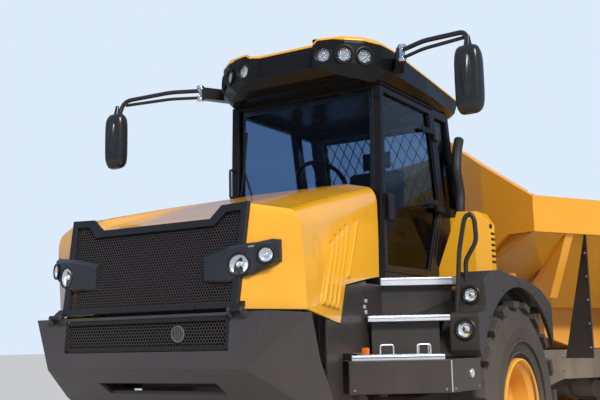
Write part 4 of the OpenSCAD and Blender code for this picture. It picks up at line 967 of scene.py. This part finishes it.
settle("mirror_heads", heads, arm_black, stands_for=["mirrors"], smooth=40)
clamp_chrome = coated("clamp_chrome", (0.80, 0.80, 0.82), 0.18, 0.0, metallic=1.0, edge=3)
settle("mirror_clamps", clamps, clamp_chrome)
mirror_silver = coated("mirror_silver", (0.85, 0.87, 0.90), 0.03, 0.0, metallic=1.0, bump=0.0, edge=1)
settle("mirror_glasses", glasses, mirror_silver)

# Steps: three aluminium treads between hood and fender, sheet folded round at the edge with rows of
# raised grip dimples, screwed on brown-grey riser plates.
step_aluminium = coated("step_aluminium", (0.86, 0.87, 0.89), 0.34, 0.06, wear=0.2, bare=(0.9, 0.9, 0.9),
                        grain=700, bump=0.06, metallic=0.75, edge=6)
dress(step_aluminium, "steps")
treads = (((739, 630), (482, 1035), 3, 1645), ((1104, 721), (836, 1155), 4, 1385),
          ((1514, 824), (1232, 1280), 4, 1148))
grips = bmesh.new()
for a, b, rows, top in treads:
    a, b = Vector((*a, top)), Vector((*b, top))
    along = (b - a).normalized()
    inward = Vector((-along.y, along.x, 0))
    for row in range(rows):
        for k in range(int(((b - a).length - 70) / 36)):
            spot = a + along * (40 + k * 36 + (row % 2) * 18) + inward * (26 + row * 34)
            add_turned(grips, spot, skyward, [(-0.5, 11), (3.2, 8), (3.2, 4.5), (0.6, 3.6), (0.6, 0.5)], 10)
    add_rod(grips, [end + along * way - inward - skyward * 8 for end, way in ((a, 6), (b, -6))], 8)
settle("step_grips", grips, step_aluminium)

# Box under the lowest tread, riser plates and trim plates: folded steel, satin brown-black, screwed on.
# A seam and a round grey reflector on its outer side, bent wire loops and an orange marker lamp on the
# tread, and small brackets behind the steps.
box_brown = coated("box_brown", (0.022, 0.019, 0.019), 0.34, 0.14, wear=0.3, bare=(0.15, 0.14, 0.13),
                   bump=0.03, coat=0.1, edge=10, shine=0.35)
dress(box_brown, "step_box", "side_trim")
details, bright, orange = bmesh.new(), bmesh.new(), bmesh.new()
front_a, front_b = Vector((1553, 824, 0)), Vector((1244, 1318, 0))
face_along = (front_b - front_a).normalized()
face_out = Vector((face_along.y, -face_along.x, 0))
for share in (0.05, 0.95):
    add_bolt(details, front_a.lerp(front_b, share) + Vector((0, 0, 950)), face_out, 6)
for x in (820, 1190):
    add_bolt(details, (x, 1318, 950), leftward, 6)
apron = bmesh.new()
add_rings(apron, [[(x, y, 930), (x, y + 4, 930), (x, y + 4, 1596), (x, y, 1596)]
                  for x, y in ((1058, 679), (1030, 674), (1000, 668), (980, 668), (900, 652), (760, 640))])
settle("apron_plate", apron, box_brown)
add_rod(bright, [front_b + Vector((-4, 3, 935)), front_b + Vector((-4, 3, 1114))], 4)
add_turned(bright, (930, 1317, 1030), leftward, [(0, 27), (7, 27), (9, 24), (6, 21), (5, 0.5)], 32)
tread_top, loop_rise = 1148, skyward * 58
for x, y, reach in ((1300, 1180, 80), (1420, 990, 80), (1150, 1120, 60)):
    foot = Vector((x, y, tread_top)) - face_out * 300
    end = foot + face_along * reach
    add_rod(bright, [foot, foot + loop_rise, end + loop_rise, end], 5, 14)
for x, y, z in ((1078, 692, 1400), (1104, 697, 1432), (1074, 692, 1470)):
    add_box(bright, (x - 14, y - 8, z), (x + 14, y + 8, z + 22), 4)
marker = front_a.lerp(front_b, 0.2) - face_out * 245
add_box(orange, (marker.x - 14, marker.y - 22, 1150), (marker.x + 14, marker.y + 22, 1192), 7)
settle("step_bolts", details, steel_zinc)
settle("step_loops", bright, step_aluminium)
lens_orange = coated("lens_orange", (0.75, 0.16, 0.01), 0.15, 0.05, coat=0.5, edge=2)
settle("marker_lamp", orange, lens_orange)

# Fenders: moulded plastic arches over the outer half of the front tyres, dark grey with a dull gloss; the
# front of each is stepped and holds two round lamps in raised bezels, the smaller one above.
grey_plastic = coated("grey_plastic", (0.020, 0.021, 0.024), 0.34, 0.14, grain=900, bump=0.08, coat=0.05,
                      edge=14, shine=0.35)
dress(grey_plastic, "fenders")
bowls, bezels, covers = bmesh.new(), bmesh.new(), bmesh.new()
for side in (-1, 1):
    for x, y, z, radius in ((657, 1228, 1510, 48), (790, 1232, 1292, 56)):
        add_lamp(bowls, bezels, covers, (x - 17, side * y, z), forward, radius - 4, 0.42)
        add_turned(bezels, (x - 2, side * y, z), forward,
                   [(0, radius + 16), (5, radius + 15), (11, radius + 8), (11, radius + 2), (2, radius - 1),
                    (0, radius + 16)], 48)
    add_rod(bezels, [(1, side * 1129, 1582), (1, side * 1329, 1584)], 4)
    for k in range(5):
        a = math.radians(46 + 22 * k)
        spot = (math.cos(a) * 850, side * 1323.6, axle_height + math.sin(a) * 860)
        add_turned(bezels, spot, (0, side, 0), [(0, 9), (3, 9), (5, 5), (5, 0.5)], 12)
settle_lamps("fender_lamp", "fender_lamps", bowls, bezels, covers)
side_lamps = bmesh.new()
for side in (-1, 1):
    add_box(side_lamps, (-150, side * 1236 - 26, 1632), (-85, side * 1236 + 26, 1688), 12)
settle("side_lamps", side_lamps, lens_orange)

# Side housings behind the cab: folded sheet covers in the hood's yellow with a louvred air intake and
# a lock. The exhaust leaves the left one through a bent black pipe; the handrails are black tube.
dress(hood_yellow, "side_housing")
vents = bmesh.new()
for side in (-1, 1):
    for k in range(6):
        z = 1790 + k * 42
        add_box(vents, (-372, side * 1033 - 5, z), (-304, side * 1033 + 3, z + 16), 5)
    add_turned(vents, (-300, side * 1030, 2060), (0, side, 0),
               [(0, 18), (6, 18), (9, 14), (6, 11), (6, 0.5)], 20)
settle("housing_vents", vents, black_plastic)
pipe_black = coated("pipe_black", (0.012, 0.012, 0.013), 0.42, 0.1, wear=0.2, bare=(0.12, 0.1, 0.09), edge=2)
dress(pipe_black, "exhaust", "handrails")

# Hitch and rear frame: cast hitch with its swivel tube, box rails in welded plate, cast bogie beams on the
# frame's shaft and two drive axles. All dark grey, dusty; bolted caps, hoses over the joint, weld beads.
dress(frame_grey, "hitch", "rear_frame", "bogie_beams", "rear_axles")
hitch_bolts = bmesh.new()
hitch_height = 810
for x, way, radius, size in ((-200, forward, 158, 12), (-642, -forward, 145, 11)):
    for spot in round_places((x, 0, hitch_height), leftward, skyward, radius, 12, 15):
        add_bolt(hitch_bolts, spot, way, size)
for side in (-1, 1):
    for spot in round_places((-150, side * 430, 995), forward, leftward, 18, 4, 45):
        add_bolt(hitch_bolts, spot, skyward, 5)
settle("hitch_bolts", hitch_bolts, steel_zinc, "hitch", rear_place)

# Rear frame trimmings: bolts along the rails, hinge pin caps, brake hoses clipped along the inside,
# weld beads where the cross members meet the rails
hose_rubber = coated("hose_rubber", (0.012, 0.012, 0.012), 0.6, 0.4, grain=600, bump=0.15, edge=1)
rail_bolts, beads, hoses = bmesh.new(), bmesh.new(), bmesh.new()
for side in (-1, 1):
    for x in (-1100, -1300, -2900, -3250, -3600, -4300, -4450):
        for z in (950, 1070):
            add_bolt(rail_bolts, (x, side * 380, z), (0, side, 0), 11)
    for x in (-900, -2000, -3200, -4400):
        for end in (x + 1, x - 61):
            add_rod(beads, [(end, side * 299, 902), (end, side * 299, 1058)], 6, sides=6)
    for z, drop in ((1010, 0), (975, 30)):
        add_rod(hoses, [(-520, side * 250, 900 - drop), (-900, side * 285, z), (-2400, side * 286, z),
                        (-4300, side * 286, z)], 12, 80, 8)
    add_turned(rail_bolts, (-4750, side * 521, 1000), (0, side, 0), [(0, 30), (6, 30), (8, 26), (8, 1)], 24)
settle("rear_bolts", rail_bolts, steel_zinc, "rear_module", rear_place)
settle("rear_beads", beads, frame_grey, "rear_module", rear_place)
settle("brake_hoses", hoses, hose_rubber, "rear_module", rear_place)

# Tail lamps: a steel bracket with a moulded lamp on each side, bolted behind the last cross member.
# Each has a red lens with a bar down its middle, an orange lens on its outer half and a black rim.
lens_red = coated("lens_red", (0.42, 0.012, 0.010), 0.16, 0.08, coat=0.5, edge=3)
dress(lens_red, "tail_lamps")
tails, whites = bmesh.new(), bmesh.new()
for side in (-1, 1):
    middle = side * 612.5
    add_frame(tails, (-4934.5, middle, 905), -leftward, skyward, both_halves([(87, -49), (87, 49)]),
              both_halves([(78, -40), (78, 40)]), 0, 5, 3)
    add_box(tails, (-4940, middle - 3, 862), (-4934, middle + 3, 948), 2)
    add_box(whites, (-4943, middle + side * 30 - 24, 872), (-4938, middle + side * 30 + 24, 938), 4)
settle("tail_lamp_rims", tails, black_plastic, "rear_module", rear_place)
settle("tail_turn_lenses", whites, lens_orange, "rear_module", rear_place)

# Dump body: a welded hopper in wear plate with a deep pressed rail along each side, an upright headboard
# and two long beams below, joined by weld beads. Orange-yellow paint, dusty and worn along its edges.
body_yellow = coated("body_yellow", (0.88, 0.37, 0.020), 0.33, 0.32, wear=0.5, bare=(0.16, 0.13, 0.11),
                     coat=0.3, edge=12)
dress(body_yellow, "dump_body")
beads = bmesh.new()
for side in (-1, 1):
    add_rod(beads, [(-207, side * 1226, 2080), (-207, side * 1226, 2330)], 7, sides=6)
    for x, floor_z in ((-651, 1664), (-559, 1698)):
        add_rod(beads, [(x, side * 640, floor_z), (x, side * 1190, 2046)], 6, sides=6)
    add_rod(beads, [(-1150, side * 1209, 2059), (-4750, side * 1209, 2059)], 6, sides=6)
    for x in (-1500, -4000):
        add_rod(beads, [(x, side * 322, 1150), (x, side * 322, 1490)], 5, sides=6)
settle("body_beads", beads, body_yellow, "dump_body", rear_place)

# Mud plates ahead of the middle wheels: a sheet of black rubber on each side, hung from a strip
# under the body's rail and held by an upright row of bolts.
sheet_rubber = coated("sheet_rubber", (0.012, 0.011, 0.011), 0.6, 0.35, grain=400, bump=0.2, edge=3)
dress(sheet_rubber, "mud_plates")
strips = bmesh.new()
for side in (-1, 1):
    for z in range(1150, 1911, 190):
        add_bolt(strips, (-768, side * 1213, z), forward, 9)
settle("mud_plate_bolts", strips, steel_zinc, "dump_body", rear_place)

# Cylinders: drawn tube barrels in body paint with an eye at the foot, and hard-chromed rods that end
# in an eye; the tipping pair stand between frame and body, the steering pair lie across the hitch.
barrel_yellow = coated("barrel_yellow", (0.86, 0.38, 0.03), 0.32, 0.4, wear=0.4, coat=0.2, edge=2)
rod_chrome = coated("rod_chrome", (0.80, 0.80, 0.82), 0.10, 0.10, metallic=1.0, bump=0.01, edge=1)
dress(barrel_yellow, "tip_barrels", "steer_barrel_left", "steer_barrel_right")
dress(rod_chrome, "tip_rods", "steer_rod_left", "steer_rod_right")
